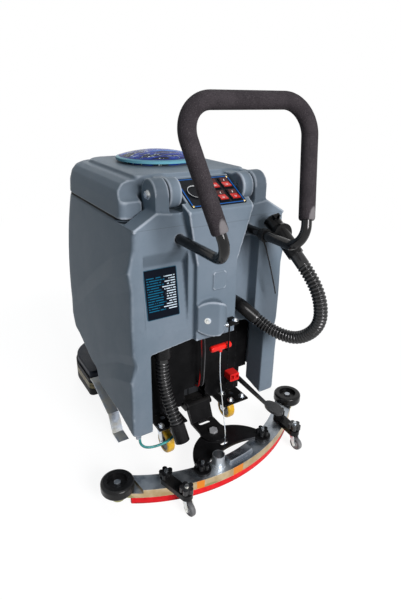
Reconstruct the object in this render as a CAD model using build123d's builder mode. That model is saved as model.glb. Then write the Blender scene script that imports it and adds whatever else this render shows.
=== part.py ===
"""Walk-behind floor scrubber dryer with a rotomoulded body, a twin-disc scrub deck and a towed squeegee.

Millimetres. +Z is up, +Y is forward (away from the operator) and +X is the operator's right hand.
The origin lies on the floor, under the middle of the machine.
"""

import os
from math import atan2, cos, degrees, hypot, radians, sin, sqrt, tan

from build123d import *

os.makedirs("parts", exist_ok=True)

# Frame: where the rear wall of the body stands along Y, and the floor
rear_y = -231.66
floor_z = 0.0
running_gap = 0.05     # radial play of a pin in its bore
face_gap = 0.4         # play between faces that slide past each other

# Body shell, moulded as one hollow tank with two rear legs
tank_half_foot = 254.0
tank_half_belly = 246.0
tank_half_rim = 236.0
tank_front_foot = 560.0
tank_front_belly = 640.0
tank_front_rim = 572.0
tank_foot_z = 131.0
tank_belly_z = 450.0
tank_rim_z = 748.0
tank_front_corner = 105.0
tank_rear_corner = 14.0
tank_wall = 6.0
tank_floor_z = 420.0
tank_back_depth = 80.0
leg_width = 56.0
recess_side_z = 392.0
recess_mid_z = 411.0
recess_mid_half = 55.0
skirt_rise = [(0.0, 131.0), (110.0, 156.0), (263.0, 161.0), (316.0, 190.0), (481.0, 254.0), (700.0, 300.0)]

# Rear column and console
column_half = 66.0
column_proud = 20.0
column_top_z = 640.0
console_rim_half = 100.0
console_rim_proud = 33.0
console_rim_z = 785.0
console_half = 88.0
console_front = 88.0
console_front_z = 852.0
channel_left = 72.0
channel_right = 154.0
channel_depth = 45.0
channel_top_z = 690.0
pocket_left = -212.0
pocket_right = -82.0
pocket_top_z = 684.0
pocket_deep_z = 640.0
pocket_low_z = 440.0
pocket_depth = 30.0
badge_width = 42.0
badge_height = 52.0
badge_x = 4.0
badge_z = 586.0
badge_proud = 3.0
boss_x = -28.0
boss_z = 484.0
boss_radius = 53.0
boss_left = 37.0
boss_lip = 6.0
boss_crest = 12.0
boss_proud = 40.0

# Lid hinge
hinge_y = rear_y + 47.0
hinge_z = 822.0
hinge_pin_radius = 6.0
lug_inner = 132.0
lug_outer = 171.0
lug_radius = 40.0
finger_x = 111.0
finger_width = 34.0
finger_radius = 38.0
ledge_z = 780.0

# Recovery tank, lid and inspection cover
tub_wall = 4.0
tub_floor_z = 500.0
tub_flange = 3.0
tub_inset = 14.0
lid_wall = 5.0
lid_bottom_z = 757.0
lid_side_z = 798.0
lid_shoulder_z = 824.0
lid_bend_z = 840.0
lid_crown_z = 848.0
lid_top_z = 858.0
lid_rear = 75.0
lid_notch_rear = 108.0
lid_notch_half = 175.0
lid_crown_inset = 42.0
lid_plateau_inset = 60.0
scoop_inner = 150.0
scoop_radius = 42.0
scoop_z = 844.0
seal_width = 8.0
cover_y = rear_y + 335.0
cover_radius = 126.0
cover_rise = 20.0
cover_thick = 4.0
neck_radius = 100.0
neck_height = 10.0
neck_wall = 8.0

# Control panel and switches
panel_width = 168.0
panel_length = 112.0
panel_thick = 2.5
switch_width = 23.0
switch_length = 33.0
switch_play = 0.6
trunnion_radius = 2.5
trunnion_out = switch_play / 2
switch_pocket = 16.0
switch_columns = [20.0, 58.0]
switch_rows = [-24.0, 24.0]
bezel_edge = 3.5
bezel_height = 3.0
gauge_x = -46.0
gauge_radius = 26.0

# Handle
handle_tube_radius = 12.7
handle_tube_wall = 2.0
handle_x = 108.0
handle_z = 712.0
handle_depth = 60.0
handle_reach = 230.0
handle_top_x = 184.0
handle_top_y = rear_y - 116.0
handle_top_z = 1042.0
handle_low_bend = 46.0
handle_top_bend = 68.0
grip_radius = 20.0
grip_end_z = 781.0

# Chassis
base_z = 104.0
base_thick = 6.0
base_rear = 20.0
base_front = 400.0
base_half = 168.0
base_waist = 118.0
waist_rear = 135.0
waist_front = 362.0
post_width = 30.0
post_depth = 30.0
post_inset = 11.0
post_x = base_half - post_inset - post_width / 2
post_rear = 75.0
post_front = 381.0
back_panel_y = rear_y + 92.0
back_panel_thick = 4.0
back_panel_over = 8.0
back_wing_over = 6.0
back_wing_z = 190.0
wheel_radius = 100.0
wheel_width = 50.0
wheel_x = 150.0
wheel_y = rear_y + 250.0
axle_radius = 10.0
carrier_thick = 13.0

# Rear casters
caster_inset = 36.0
caster_x = base_half - caster_inset
caster_y = rear_y + 70.0
caster_wheel_radius = 37.5
caster_wheel_width = 28.0
caster_trail = 24.0
caster_stem_radius = 8.0
caster_boss_radius = 22.0
caster_boss_height = 6.0
caster_axle_radius = 5.0

# Scrub deck and its pedal
deck_half = 240.0
deck_rear = 440.0
deck_front = 690.0
deck_corner = 120.0
deck_back_corner = 12.0
deck_top_z = 104.0
deck_plate = 8.0
deck_wall = 5.0
deck_rim_z = 50.0
skirt_thick = 5.0
skirt_bottom_z = 6.0
skirt_top_z = 78.0
disc_x = 118.0
disc_y = rear_y + 562.0
disc_radius = 111.0
pad_thick = 24.0
driver_thick = 10.0
disc_shaft_radius = 10.0
motor_radius = 55.0
motor_height = 130.0
deck_hinge_y = rear_y + 396.0
deck_hinge_z = 122.0
deck_hinge_x = 90.0
deck_hinge_pin = 6.0
deck_barrel = 12.0
pedal_x = 187.0
pedal_hinge_y = rear_y + 124.0
pedal_hinge_z = 134.0
pedal_pin = 5.0
pedal_arm_width = 10.0
pedal_arm_height = 16.0
pedal_pad_y = rear_y - 90.0
pedal_pad_long = 76.0
pedal_pad_wide = 44.0
pedal_pad_z = 126.0
pedal_pad_thick = 9.0

# Squeegee lift arm
lift_y = rear_y + 75.0
lift_z = 114.0
lift_pin = 6.0
lift_barrel = 12.0
lift_half = 40.0
pivot_y = rear_y - 25.0
pivot_radius = 8.0
tongue_radius = 44.0
tongue_thick = 8.0

# Squeegee, drawn in its own plan: origin at the pivot, turned by the yaw that it stands at
squeegee_yaw = 6.5
casting_apex = -147.0
casting_outer = 532.0
casting_width = 56.0
casting_inner = casting_outer - casting_width
casting_bottom_z = 24.0
casting_top_z = 52.0
casting_skin = 6.0
channel_wall = 11.0
tail_half = 338.0
blade_thick = 4.0
blade_inset = 2.0
blade_bottom_z = 0.5
yoke_thick = 8.0
yoke_foot_x = 121.0
yoke_foot_y = -98.0
yoke_foot_radius = 26.0
yoke_hub_radius = 36.0
crescent_y = -115.0
crescent_radius = 135.0
hollow_y = -300.0
hollow_radius = 228.0
cable_slot_y = -52.0
cable_slot_long = 28.0
cable_slot_wide = 14.0
pivot_head_radius = 14.0
pivot_head = 8.0
stud_radius = 5.0
stud_over = 6.0
port_x = -68.0
port_y = -106.0
port_wall = 2.5
port_height = 38.0
port_flange = 22.0
port_flange_thick = 6.0
port_room = 4.0
hump_inner = casting_inner + 10.0
hump_outer = casting_outer - 15.0
hump_left = -42.0
hump_right = 50.0
hump_height = 13.0
roller_x = 345.0
roller_y = 0.0
roller_z = 40.0
roller_radius = 47.0
roller_height = 32.0
roller_dish = 12.0
roller_pin = 6.0
roller_head = 10.0
roller_head_thick = 6.0
end_boss_z = 11.0
end_boss_radius = 20.0
bracket_x = 228.0
bracket_y = -68.0
bracket_thick = 16.0
bracket_radius = 17.0
towed_x = 215.0
towed_y = -148.0
towed_wheel_radius = 21.0
towed_wheel_width = 16.0
towed_trail = 14.0
towed_stem_radius = 6.0
towed_axle_radius = 3.5
towed_plate = 4.0
towed_cheek = 3.0
knob_lobes = 5
knob_lobe = 7.0
knob_radius = 20.0
knob_height = 15.0
knob_neck = 6.0
knob_neck_radius = 10.0

# Lift handle, its hook and cable
tee_x = 7.0
tee_y = rear_y - 36.0
tee_z = 382.0
tee_tilt = -1.0
tee_radius = 9.5
tee_length = 70.0
tee_neck_radius = 5.0
tee_neck = 16.0
cable_radius = 1.6
cable_ball = 8.0
cable_ball_z = 43.0
cable_back = 3.5
hook_x = 24.0
hook_wire = 2.5
hook_room = 3.0
barrel_radius = 7.0
barrel_length = 36.0
barrel_y = rear_y - 46.0
barrel_z = 455.0

# Hoses and tube
elbow_x = 106.0
elbow_z = 474.0
elbow_radius = 20.0
drain_radius = 19.0
drain_bore = 14.5
drain_valley = 16.6
drain_plain = 18.0
drain_ribs = 52
hose_plain_end = 39.0
cuff_radius = 22.0
cuff_bore = 18.0
cuff_length = 116.0
cap_thick = 9.0
cap_radius = 23.5
cap_knuckle = 4.5
cap_pin = 2.0
clip_thick = 14.0
clip_wall = 5.0
clip_back = 75.0
vacuum_radius = 20.0
vacuum_bore = 15.0
vacuum_valley = 17.4
vacuum_plain = 18.4
vacuum_ribs = 25
end_cuff_radius = 23.0
end_cuff_length = 58.0
end_cuff_lip = 8.0
inlet_x = -150.0
inlet_y = rear_y + 30.0
inlet_low_z = 362.0
inlet_radius = 25.0
tube_radius = 4.0
tube_leg_x = -236.0
tube_leg_y = rear_y + 16.0
tube_leg_z = 112.0
tube_base_x = -118.0
tube_base_y = rear_y + 15.0
tube_base_z = 107.0
tube_socket_radius = 6.0

# Inside the bays
battery_width = 103.0
battery_length = 226.0
battery_height = 205.0
battery_gap = 4.0
vacuum_motor_radius = 68.0
standpipe_x = 60.0
standpipe_y = rear_y + 330.0
standpipe_radius = 22.0
cage_radius = 34.0

base_top_z = base_z + base_thick
yoke_top_z = casting_top_z + yoke_thick
tongue_z = yoke_top_z + face_gap
tongue_top_z = tongue_z + tongue_thick
arc_centre = casting_apex + casting_outer
port_radius = vacuum_plain
casting_half = roller_x - roller_radius - 2
blade_half = roller_x - end_boss_radius - 2
bracket_top_z = casting_top_z + bracket_thick
console_slope = degrees(
    atan2(console_front_z - console_rim_z, console_front + console_rim_proud)
)


def plan_outline(half, rear, front, rear_corner, front_corner):
    """A body's plan: a rectangle with its two front and two rear corners rounded."""
    with Locations((0, (rear + front) / 2)):
        Rectangle(2 * half, front - rear)
    fillet(vertices().group_by(Axis.Y)[-1], front_corner)
    fillet(vertices().group_by(Axis.Y)[0], rear_corner)


def bent_radii(points):
    """Largest neat arc at each inner point: 0.45 of the shorter run over the tangent of half the turn."""
    radii = []
    for before, here, after in zip(points, points[1:], points[2:]):
        run_in = Vector(*here) - Vector(*before)
        run_out = Vector(*after) - Vector(*here)
        turn = radians(run_in.get_angle(run_out))
        shorter = min(run_in.length, run_out.length)
        radii.append(0.45 * shorter / tan(turn / 2))
    return radii


def square_plane(path, place):
    """The plane across a path at a distance along it, with its X axis kept near the machine's X."""
    along = path.tangent_at(place, position_mode=PositionMode.LENGTH)
    across = Vector(1, 0, 0) - along * along.X
    return Plane(
        origin=path.position_at(place, position_mode=PositionMode.LENGTH), x_dir=across, z_dir=along
    )


# Body shell: outer skin, upper tank hollow and the open bay under the tank floor
tank_levels = [
    (tank_foot_z, tank_half_foot, tank_front_foot),
    (tank_belly_z, tank_half_belly, tank_front_belly),
    (tank_rim_z, tank_half_rim, tank_front_rim),
]
with BuildPart() as tank_hollow:
    for level_z, half, front in tank_levels:
        with BuildSketch(Plane.XY.offset(level_z)):
            plan_outline(
                half - tank_wall,
                rear_y + tank_back_depth,
                rear_y + front - tank_wall,
                tank_rear_corner,
                tank_front_corner - tank_wall,
            )
    loft()
with BuildPart() as upper_hollow:
    add(tank_hollow.part)
    split(bisect_by=Plane.XY.offset(tank_floor_z + tank_wall), keep=Keep.TOP)
with BuildPart() as lower_bay:
    add(tank_hollow.part)
    split(bisect_by=Plane.XY.offset(tank_floor_z), keep=Keep.BOTTOM)

panel_plane = Plane(
    origin=(0, rear_y - console_rim_proud, console_rim_z),
    x_dir=(1, 0, 0),
    z_dir=(0, -sin(radians(console_slope)), cos(radians(console_slope))),
)
panel_face_length = hypot(console_front + console_rim_proud, console_front_z - console_rim_z)
panel_mid = panel_plane.from_local_coords((0, panel_face_length / 2, 0))
switch_plane = Plane(origin=panel_mid, x_dir=(1, 0, 0), z_dir=panel_plane.z_dir)
switch_places = [(x, y) for x in switch_columns for y in switch_rows]
flare = (console_rim_half - column_half) / (console_rim_z - column_top_z)
lean = (console_rim_proud - column_proud) / (console_rim_z - column_top_z)
flare_rise = lid_top_z - column_top_z

# Hood on the column: a wedge with a flat face to the left and a round back to the right, cut to a D
boss_foot_y = rear_y - column_proud
with BuildPart() as boss_hood:
    with BuildSketch(Plane.XY.offset(boss_z - boss_radius)):
        with BuildLine():
            Polyline(
                (boss_x + boss_radius, boss_foot_y),
                (boss_x - boss_left, boss_foot_y),
                (boss_x - boss_left, boss_foot_y - boss_lip),
                (boss_x + boss_crest, boss_foot_y - boss_proud),
            )
            ThreePointArc(
                (boss_x + boss_crest, boss_foot_y - boss_proud),
                (boss_x + 0.78 * boss_radius, boss_foot_y - 0.72 * boss_proud),
                (boss_x + boss_radius, boss_foot_y),
            )
        make_face()
    extrude(amount=2 * boss_radius)
    with BuildSketch(Plane.XZ.offset(-boss_foot_y)):
        with Locations((boss_x, boss_z)):
            Circle(boss_radius)
    extrude(amount=boss_proud, mode=Mode.INTERSECT)

with BuildPart() as solution_tank:
    for level_z, half, front in tank_levels:
        with BuildSketch(Plane.XY.offset(level_z)):
            plan_outline(half, rear_y, rear_y + front, tank_rear_corner, tank_front_corner)
    loft()
    add(upper_hollow.part, mode=Mode.SUBTRACT)
    add(lower_bay.part, mode=Mode.SUBTRACT)
    # The skirt's lower edge climbs towards the front to clear the deck
    with BuildSketch(Plane.YZ):
        with BuildLine():
            Polyline(
                [(rear_y + y, z) for y, z in skirt_rise]
                + [(rear_y + skirt_rise[-1][0], floor_z), (rear_y, floor_z)],
                close=True,
            )
        make_face()
    extrude(amount=2 * tank_half_foot, both=True, mode=Mode.SUBTRACT)
    # Opening between the two rear legs, its top edge rising to the middle
    leg_inner = tank_half_foot - leg_width
    with BuildSketch(Plane.XZ.offset(-rear_y + column_proud)):
        with BuildLine():
            Polyline(
                (-leg_inner, floor_z),
                (-leg_inner, recess_side_z),
                (-recess_mid_half, recess_mid_z),
                (recess_mid_half, recess_mid_z),
                (leg_inner, recess_side_z),
                (leg_inner, floor_z),
                close=True,
            )
        make_face()
    extrude(amount=-(tank_back_depth + column_proud + 1), mode=Mode.SUBTRACT)
    # Column up the middle of the rear wall, flaring into the console
    with BuildSketch(Plane.XY.offset(recess_mid_z)):
        with Locations((0, rear_y)):
            Rectangle(2 * column_half, 2 * column_proud)
    extrude(amount=column_top_z - recess_mid_z)
    with BuildSketch(Plane.XY.offset(column_top_z)):
        with Locations((0, rear_y - column_proud / 2)):
            Rectangle(2 * column_half, column_proud)
    with BuildSketch(Plane.XY.offset(lid_top_z)):
        top_proud = column_proud + lean * flare_rise
        with Locations((0, rear_y - top_proud / 2)):
            Rectangle(2 * (column_half + flare * flare_rise), top_proud)
    loft()
    with BuildSketch(Plane.XY.offset(ledge_z - 60)):
        with Locations((0, rear_y + console_front / 2)):
            Rectangle(2 * console_half, console_front)
    extrude(amount=lid_top_z - ledge_z + 60)
    # Hinge lugs, the ledges beside them and the ramps up from the rear corners
    for side in (-1, 1):
        with BuildSketch(Plane.YZ.offset(side * lug_inner)):
            with Locations((hinge_y, hinge_z)):
                Circle(lug_radius)
            with Locations((hinge_y, (hinge_z + tank_rim_z - tank_wall) / 2)):
                Rectangle(2 * lug_radius, hinge_z - tank_rim_z + tank_wall)
        extrude(amount=side * (lug_outer - lug_inner))
        with BuildSketch(Plane.XZ.offset(-rear_y)):
            with BuildLine():
                Polyline(
                    (side * console_half, tank_rim_z - tank_wall),
                    (side * console_half, ledge_z),
                    (side * lug_inner, ledge_z),
                    (side * lug_outer, ledge_z + tank_wall),
                    (side * tank_half_rim, tank_rim_z),
                    (side * tank_half_rim, tank_rim_z - tank_wall),
                    close=True,
                )
            make_face()
        extrude(amount=-(lid_rear - 9))
    # The console's top slopes down to the operator: over the whole flare behind the wall, and between
    # the lid's fingers in front of it
    for near, far, half in (
        (-2 * console_rim_proud, 0.0, 2 * console_rim_half),
        (-1.0, console_front + 1, console_half),
    ):
        with BuildSketch(Plane.YZ):
            with BuildLine():
                Polyline(
                    (rear_y + near, console_rim_z + (near + console_rim_proud) * tan(radians(console_slope))),
                    (rear_y + far, console_rim_z + (far + console_rim_proud) * tan(radians(console_slope))),
                    (rear_y + far, lid_top_z + 50),
                    (rear_y + near, lid_top_z + 50),
                    close=True,
                )
            make_face()
        extrude(amount=half, both=True, mode=Mode.SUBTRACT)
    # Sloped pocket behind the data plate
    with BuildSketch(Plane.YZ.offset(pocket_left)):
        with BuildLine():
            Polyline(
                (rear_y - 1, pocket_top_z),
                (rear_y + pocket_depth, pocket_deep_z),
                (rear_y - 1, pocket_low_z),
                close=True,
            )
        make_face()
    extrude(amount=pocket_right - pocket_left, mode=Mode.SUBTRACT)
    # Channel on the right for the drain hose
    with BuildSketch(Plane.XY.offset(recess_side_z - tank_wall)):
        with Locations(((channel_left + channel_right) / 2, rear_y + channel_depth / 2 - 1)):
            Rectangle(channel_right - channel_left, channel_depth + 2)
    extrude(amount=channel_top_z - recess_side_z + tank_wall, mode=Mode.SUBTRACT)
    # Raised badge pad and the hood on the column
    with BuildSketch(Plane.XZ.offset(-rear_y + column_proud)):
        with Locations((badge_x, badge_z)):
            RectangleRounded(badge_width, badge_height, 8)
    extrude(amount=badge_proud)
    add(boss_hood.part)
    # Sockets for the handle, the hinge pins, the hose inlet and the switches
    with BuildSketch(Plane.XZ.offset(-rear_y + column_proud)):
        with Locations((-handle_x, handle_z), (handle_x, handle_z)):
            Circle(handle_tube_radius + running_gap)
    extrude(amount=-(handle_depth + column_proud), mode=Mode.SUBTRACT)
    with BuildSketch(Plane.YZ):
        with Locations((hinge_y, hinge_z)):
            Circle(hinge_pin_radius)
    extrude(amount=2 * lug_outer, both=True, mode=Mode.SUBTRACT)
    with BuildSketch(Plane.XY.offset(inlet_low_z)):
        with Locations((inlet_x, inlet_y)):
            Circle(inlet_radius + running_gap)
    extrude(amount=tank_floor_z - inlet_low_z, mode=Mode.SUBTRACT)
    with BuildSketch(switch_plane):
        with Locations(*switch_places):
            Rectangle(switch_width + 2 * switch_play, switch_length + 4 * switch_play)
    extrude(amount=-switch_pocket, mode=Mode.SUBTRACT)
    # Spigot under the left leg for the water tube
    with BuildSketch(Plane.XY.offset(tube_leg_z)):
        with Locations((tube_leg_x, tube_leg_y)):
            Circle(tube_socket_radius)
    extrude(amount=tank_foot_z + 20 - tube_leg_z)
solution_tank.part.label = "solution_tank"
export_step(solution_tank.part, "parts/solution_tank.step")

# Recovery tank: a tapered tub that hangs in the body by its flange
tub_half = tank_half_rim - tub_inset
tub_rear = rear_y + tank_back_depth + tub_inset
tub_front = rear_y + tank_front_rim - tub_inset
tub_corner = tank_front_corner - tub_inset
tub_draft = 20.0
with BuildPart() as recovery_tank:
    for level_z, draft in ((tub_floor_z, tub_draft), (tank_rim_z, 0.0)):
        with BuildSketch(Plane.XY.offset(level_z)):
            plan_outline(tub_half - draft, tub_rear + draft / 2, tub_front - draft, 30, tub_corner)
    loft()
    with BuildSketch(Plane.XY.offset(tank_rim_z)):
        plan_outline(
            tank_half_rim - 1.5,
            rear_y + console_front + 2,
            rear_y + tank_front_rim - 1.5,
            30,
            tank_front_corner - 1.5,
        )
    extrude(amount=tub_flange)
    for level_z, draft in ((tub_floor_z + tub_wall, tub_draft), (tank_rim_z + tub_flange, 0.0)):
        with BuildSketch(Plane.XY.offset(level_z)):
            inset = draft + tub_wall
            plan_outline(
                tub_half - inset, tub_rear + draft / 2 + tub_wall, tub_front - inset, 26, tub_corner - tub_wall
            )
    loft(mode=Mode.SUBTRACT)
recovery_tank.part.label = "recovery_tank"
export_step(recovery_tank.part, "parts/recovery_tank.step")

# Suction standpipe with the float cage on top, standing on the tub floor
with BuildPart() as float_standpipe:
    with BuildSketch(Plane.XY.offset(tub_floor_z + tub_wall)):
        with Locations((standpipe_x, standpipe_y)):
            Circle(standpipe_radius)
            Circle(standpipe_radius - tub_wall, mode=Mode.SUBTRACT)
    extrude(amount=tank_rim_z - tub_floor_z - 90)
    cage_z = tub_floor_z + tub_wall + tank_rim_z - tub_floor_z - 90
    with BuildSketch(Plane.XY.offset(cage_z)):
        with Locations((standpipe_x, standpipe_y)):
            Circle(cage_radius)
            Circle(standpipe_radius - tub_wall, mode=Mode.SUBTRACT)
    extrude(amount=tub_wall)
    with BuildSketch(Plane.XY.offset(cage_z + tub_wall)):
        with Locations((standpipe_x, standpipe_y)):
            with PolarLocations(cage_radius - tub_wall, 8):
                Circle(tub_wall / 2)
    extrude(amount=60)
    with BuildSketch(Plane.XY.offset(cage_z + tub_wall + 60)):
        with Locations((standpipe_x, standpipe_y)):
            Circle(cage_radius)
    extrude(amount=tub_wall)
float_standpipe.part.label = "float_standpipe"
export_step(float_standpipe.part, "parts/float_standpipe.step")

# Lid: a deep domed cover with a raised plateau, two rear fingers for the hinge and a neck for its cover
lid_levels = [
    (lid_bottom_z, 0.0),
    (lid_side_z, 3.0),
    (lid_shoulder_z, 11.0),
    (lid_bend_z, 24.0),
    (lid_crown_z, lid_crown_inset),
]
with BuildPart() as lid_hollow:
    for level_z, inset in lid_levels:
        with BuildSketch(Plane.XY.offset(level_z - (lid_wall if inset else 0.1))):
            plan_outline(
                tank_half_rim - inset - lid_wall,
                rear_y + lid_notch_rear + lid_wall + inset / 2,
                rear_y + tank_front_rim - inset - lid_wall,
                12,
                tank_front_corner - inset - lid_wall,
            )
    loft(ruled=True)
finger_inner = finger_x - finger_width / 2
with BuildPart() as recovery_lid:
    for level_z, inset in lid_levels:
        with BuildSketch(Plane.XY.offset(level_z)):
            plan_outline(
                tank_half_rim - inset,
                rear_y + lid_rear + inset / 2,
                rear_y + tank_front_rim - inset,
                18,
                tank_front_corner - inset,
            )
    loft(ruled=True)
    with BuildSketch(Plane.XY.offset(lid_crown_z)):
        plan_outline(
            tank_half_rim - lid_plateau_inset,
            rear_y + lid_notch_rear + lid_wall,
            rear_y + tank_front_rim - lid_plateau_inset,
            18,
            tank_front_corner - lid_plateau_inset + 20,
        )
    extrude(amount=lid_top_z - lid_crown_z, taper=30)
    with Locations((0, cover_y, lid_top_z)):
        Cylinder(neck_radius, neck_height, align=(Align.CENTER, Align.CENTER, Align.MIN))
    add(lid_hollow.part, mode=Mode.SUBTRACT)
    # The rear edge steps forward round the console and the hinge lugs
    with BuildSketch(Plane.XY.offset(lid_bottom_z - 1)):
        with Locations((0, rear_y + lid_notch_rear / 2)):
            Rectangle(2 * lid_notch_half, lid_notch_rear)
    extrude(amount=lid_top_z - lid_bottom_z + 2, mode=Mode.SUBTRACT)
    for side in (-1, 1):
        # Hollow scooped out of the rear corner above the rim
        with BuildSketch(Plane.YZ.offset(side * scoop_inner)):
            with Locations((rear_y + lid_rear, scoop_z)):
                Circle(scoop_radius)
        extrude(amount=side * (tank_half_rim - scoop_inner + 1), mode=Mode.SUBTRACT)
        # Finger round the hinge bolt
        with BuildSketch(Plane.YZ.offset(side * finger_inner)):
            with Locations((hinge_y, hinge_z)):
                Circle(finger_radius)
            with Locations((hinge_y, hinge_z + 1)):
                Rectangle(
                    rear_y + lid_notch_rear + lid_wall - hinge_y,
                    lid_top_z - hinge_z + 25,
                    align=(Align.MIN, Align.CENTER),
                )
        extrude(amount=side * finger_width)
    split(bisect_by=Plane.XY.offset(lid_top_z + neck_height), keep=Keep.BOTTOM)
    with BuildSketch(Plane.YZ):
        with Locations((hinge_y, hinge_z)):
            Circle(hinge_pin_radius + running_gap)
    extrude(amount=2 * lug_outer, both=True, mode=Mode.SUBTRACT)
    with Locations((0, cover_y, lid_bottom_z)):
        Cylinder(
            neck_radius - neck_wall,
            lid_top_z + neck_height - lid_bottom_z + 1,
            align=(Align.CENTER, Align.CENTER, Align.MIN),
            mode=Mode.SUBTRACT,
        )
recovery_lid.part.label = "recovery_lid"
export_step(recovery_lid.part, "parts/recovery_lid.step")

# Rubber seal under the lid's rim
with BuildPart() as lid_seal:
    with BuildSketch(Plane.XY.offset(tank_rim_z + tub_flange + face_gap)):
        seal_rear = rear_y + lid_notch_rear + lid_wall / 2
        plan_outline(
            tank_half_rim - 3, seal_rear, rear_y + tank_front_rim - 3, 12, tank_front_corner - 3
        )
        with BuildSketch(mode=Mode.PRIVATE) as seal_inside:
            plan_outline(
                tank_half_rim - 3 - seal_width,
                seal_rear + seal_width,
                rear_y + tank_front_rim - 3 - seal_width,
                12,
                tank_front_corner - 3 - seal_width,
            )
        add(seal_inside.sketch, mode=Mode.SUBTRACT)
    extrude(amount=lid_bottom_z - tank_rim_z - tub_flange - face_gap)
lid_seal.part.label = "lid_seal"
export_step(lid_seal.part, "parts/lid_seal.step")



def dome_mid(radius, rise):
    """Height of a shallow ball-shaped dome half way out from its crown."""
    ball = (radius**2 + rise**2) / (2 * rise)
    return rise - ball + sqrt(ball**2 - radius**2 / 4)


# Clear inspection cover: a shallow dome with a skirt round the lid's neck
cover_seat_z = lid_top_z + neck_height + face_gap
with BuildPart() as inspection_cover:
    with BuildSketch(Plane.XZ.offset(-cover_y)):
        with BuildLine():
            crown = (0, cover_seat_z + cover_thick + cover_rise)
            rim_top = (cover_radius, cover_seat_z + cover_thick)
            middle = (cover_radius / 2, cover_seat_z + cover_thick + dome_mid(cover_radius, cover_rise))
            ThreePointArc(crown, middle, rim_top)
            Line(rim_top, (cover_radius, cover_seat_z - 3))
            Line((cover_radius, cover_seat_z - 3), (cover_radius - cover_thick, cover_seat_z - 3))
            Line((cover_radius - cover_thick, cover_seat_z - 3), (cover_radius - cover_thick, cover_seat_z))
            skirt_out = neck_radius + running_gap * 10 + cover_thick
            Line((cover_radius - cover_thick, cover_seat_z), (skirt_out, cover_seat_z))
            Line((skirt_out, cover_seat_z), (skirt_out, lid_top_z + face_gap))
            Line((skirt_out, lid_top_z + face_gap), (skirt_out - cover_thick, lid_top_z + face_gap))
            Line((skirt_out - cover_thick, lid_top_z + face_gap), (skirt_out - cover_thick, cover_seat_z))
            inner_rim = (skirt_out - cover_thick, cover_seat_z)
            inner_crown = (0, cover_seat_z + cover_rise)
            inner_mid = (inner_rim[0] / 2, cover_seat_z + dome_mid(inner_rim[0], cover_rise))
            ThreePointArc(inner_rim, inner_mid, inner_crown)
            Line(inner_crown, crown)
        make_face()
    revolve(axis=Axis((0, cover_y, 0), (0, 0, 1)))
inspection_cover.part.label = "inspection_cover"
export_step(inspection_cover.part, "parts/inspection_cover.step")

# Hinge bolts with domed heads, run in from outside each lug
with BuildPart() as hinge_bolts:
    for side in (-1, 1):
        with BuildSketch(Plane.YZ.offset(side * (finger_inner + 3))):
            with Locations((hinge_y, hinge_z)):
                Circle(hinge_pin_radius)
        extrude(amount=side * (lug_outer - finger_inner - 3))
        with BuildSketch(Plane.YZ.offset(side * lug_outer)):
            with Locations((hinge_y, hinge_z)):
                Circle(2 * hinge_pin_radius)
        extrude(amount=side * 2)
        with BuildSketch(Plane.YZ.offset(side * (lug_outer + 2))):
            with Locations((hinge_y, hinge_z)):
                RegularPolygon(1.6 * hinge_pin_radius, 6)
        extrude(amount=side * 6)
hinge_bolts.part.label = "hinge_bolts"
export_step(hinge_bolts.part, "parts/hinge_bolts.step")

# Control panel: a flat plate on the console slope with a raised frame round each switch and the gauge
with BuildPart() as control_panel:
    with BuildSketch(switch_plane):
        RectangleRounded(panel_width, panel_length, 6)
    extrude(amount=panel_thick)
    with BuildSketch(switch_plane.offset(panel_thick)):
        with Locations(*switch_places):
            Rectangle(switch_width + 2 * bezel_edge, switch_length + 2 * bezel_edge)
        with Locations((gauge_x, 0)):
            Circle(gauge_radius)
            Circle(gauge_radius - bezel_edge, mode=Mode.SUBTRACT)
    extrude(amount=bezel_height)
    with BuildSketch(switch_plane.offset(panel_thick + bezel_height)):
        with Locations(*switch_places):
            Rectangle(switch_width + 2 * switch_play, switch_length + 4 * switch_play)
    extrude(amount=-(panel_thick + bezel_height), mode=Mode.SUBTRACT)
control_panel.part.label = "control_panel"
export_step(control_panel.part, "parts/control_panel.step")

# Rocker switches: a hollow-backed paddle that tips about its middle
rocker_top = panel_thick + bezel_height + 2.0
for number, (switch_x, switch_y) in enumerate(switch_places, start=1):
    rocker_mid = switch_plane.from_local_coords((switch_x - switch_width / 2, switch_y, 0))
    rocker_plane = Plane(origin=rocker_mid, x_dir=switch_plane.y_dir, z_dir=(1, 0, 0))
    with BuildPart() as rocker:
        with BuildSketch(rocker_plane):
            with BuildLine():
                Polyline(
                    (-switch_length / 2, rocker_top),
                    (0, rocker_top - 3),
                    (switch_length / 2, rocker_top),
                    (switch_length / 2 - 2, -6),
                    (-switch_length / 2 + 2, -6),
                    close=True,
                )
            make_face()
        extrude(amount=switch_width)
        # Trunnions that it tips on
        with BuildSketch(rocker_plane.offset(-trunnion_out)):
            Circle(trunnion_radius)
        extrude(amount=switch_width + 2 * trunnion_out)
    rocker.part.label = f"rocker_switch_{number}"
    export_step(rocker.part, f"parts/rocker_switch_{number}.step")

# Data plate on the sloped face of its pocket
slope_run = pocket_depth + 1
slope_rise = pocket_deep_z - pocket_low_z
plate_plane = Plane(
    origin=((pocket_left + pocket_right) / 2 - 6, rear_y - 1 + slope_run * 0.62, pocket_low_z + slope_rise * 0.62),
    x_dir=(1, 0, 0),
    z_dir=(0, -slope_rise / hypot(slope_rise, slope_run), slope_run / hypot(slope_rise, slope_run)),
)
plate_width = 98.0
plate_height = 138.0
plate_thick = 1.5
with BuildPart() as data_plate:
    with BuildSketch(plate_plane):
        RectangleRounded(plate_width, plate_height, 5)
    extrude(amount=plate_thick)
data_plate.part.label = "data_plate"
export_step(data_plate.part, "parts/data_plate.step")

# Bent steel handle: one tube from socket to socket
side_low = (handle_x, rear_y - handle_reach, handle_z)
side_high = (handle_top_x, handle_top_y, handle_top_z)


def mirrored(point):
    """The same point on the other side of the machine's middle plane."""
    return (-point[0], point[1], point[2])


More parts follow.
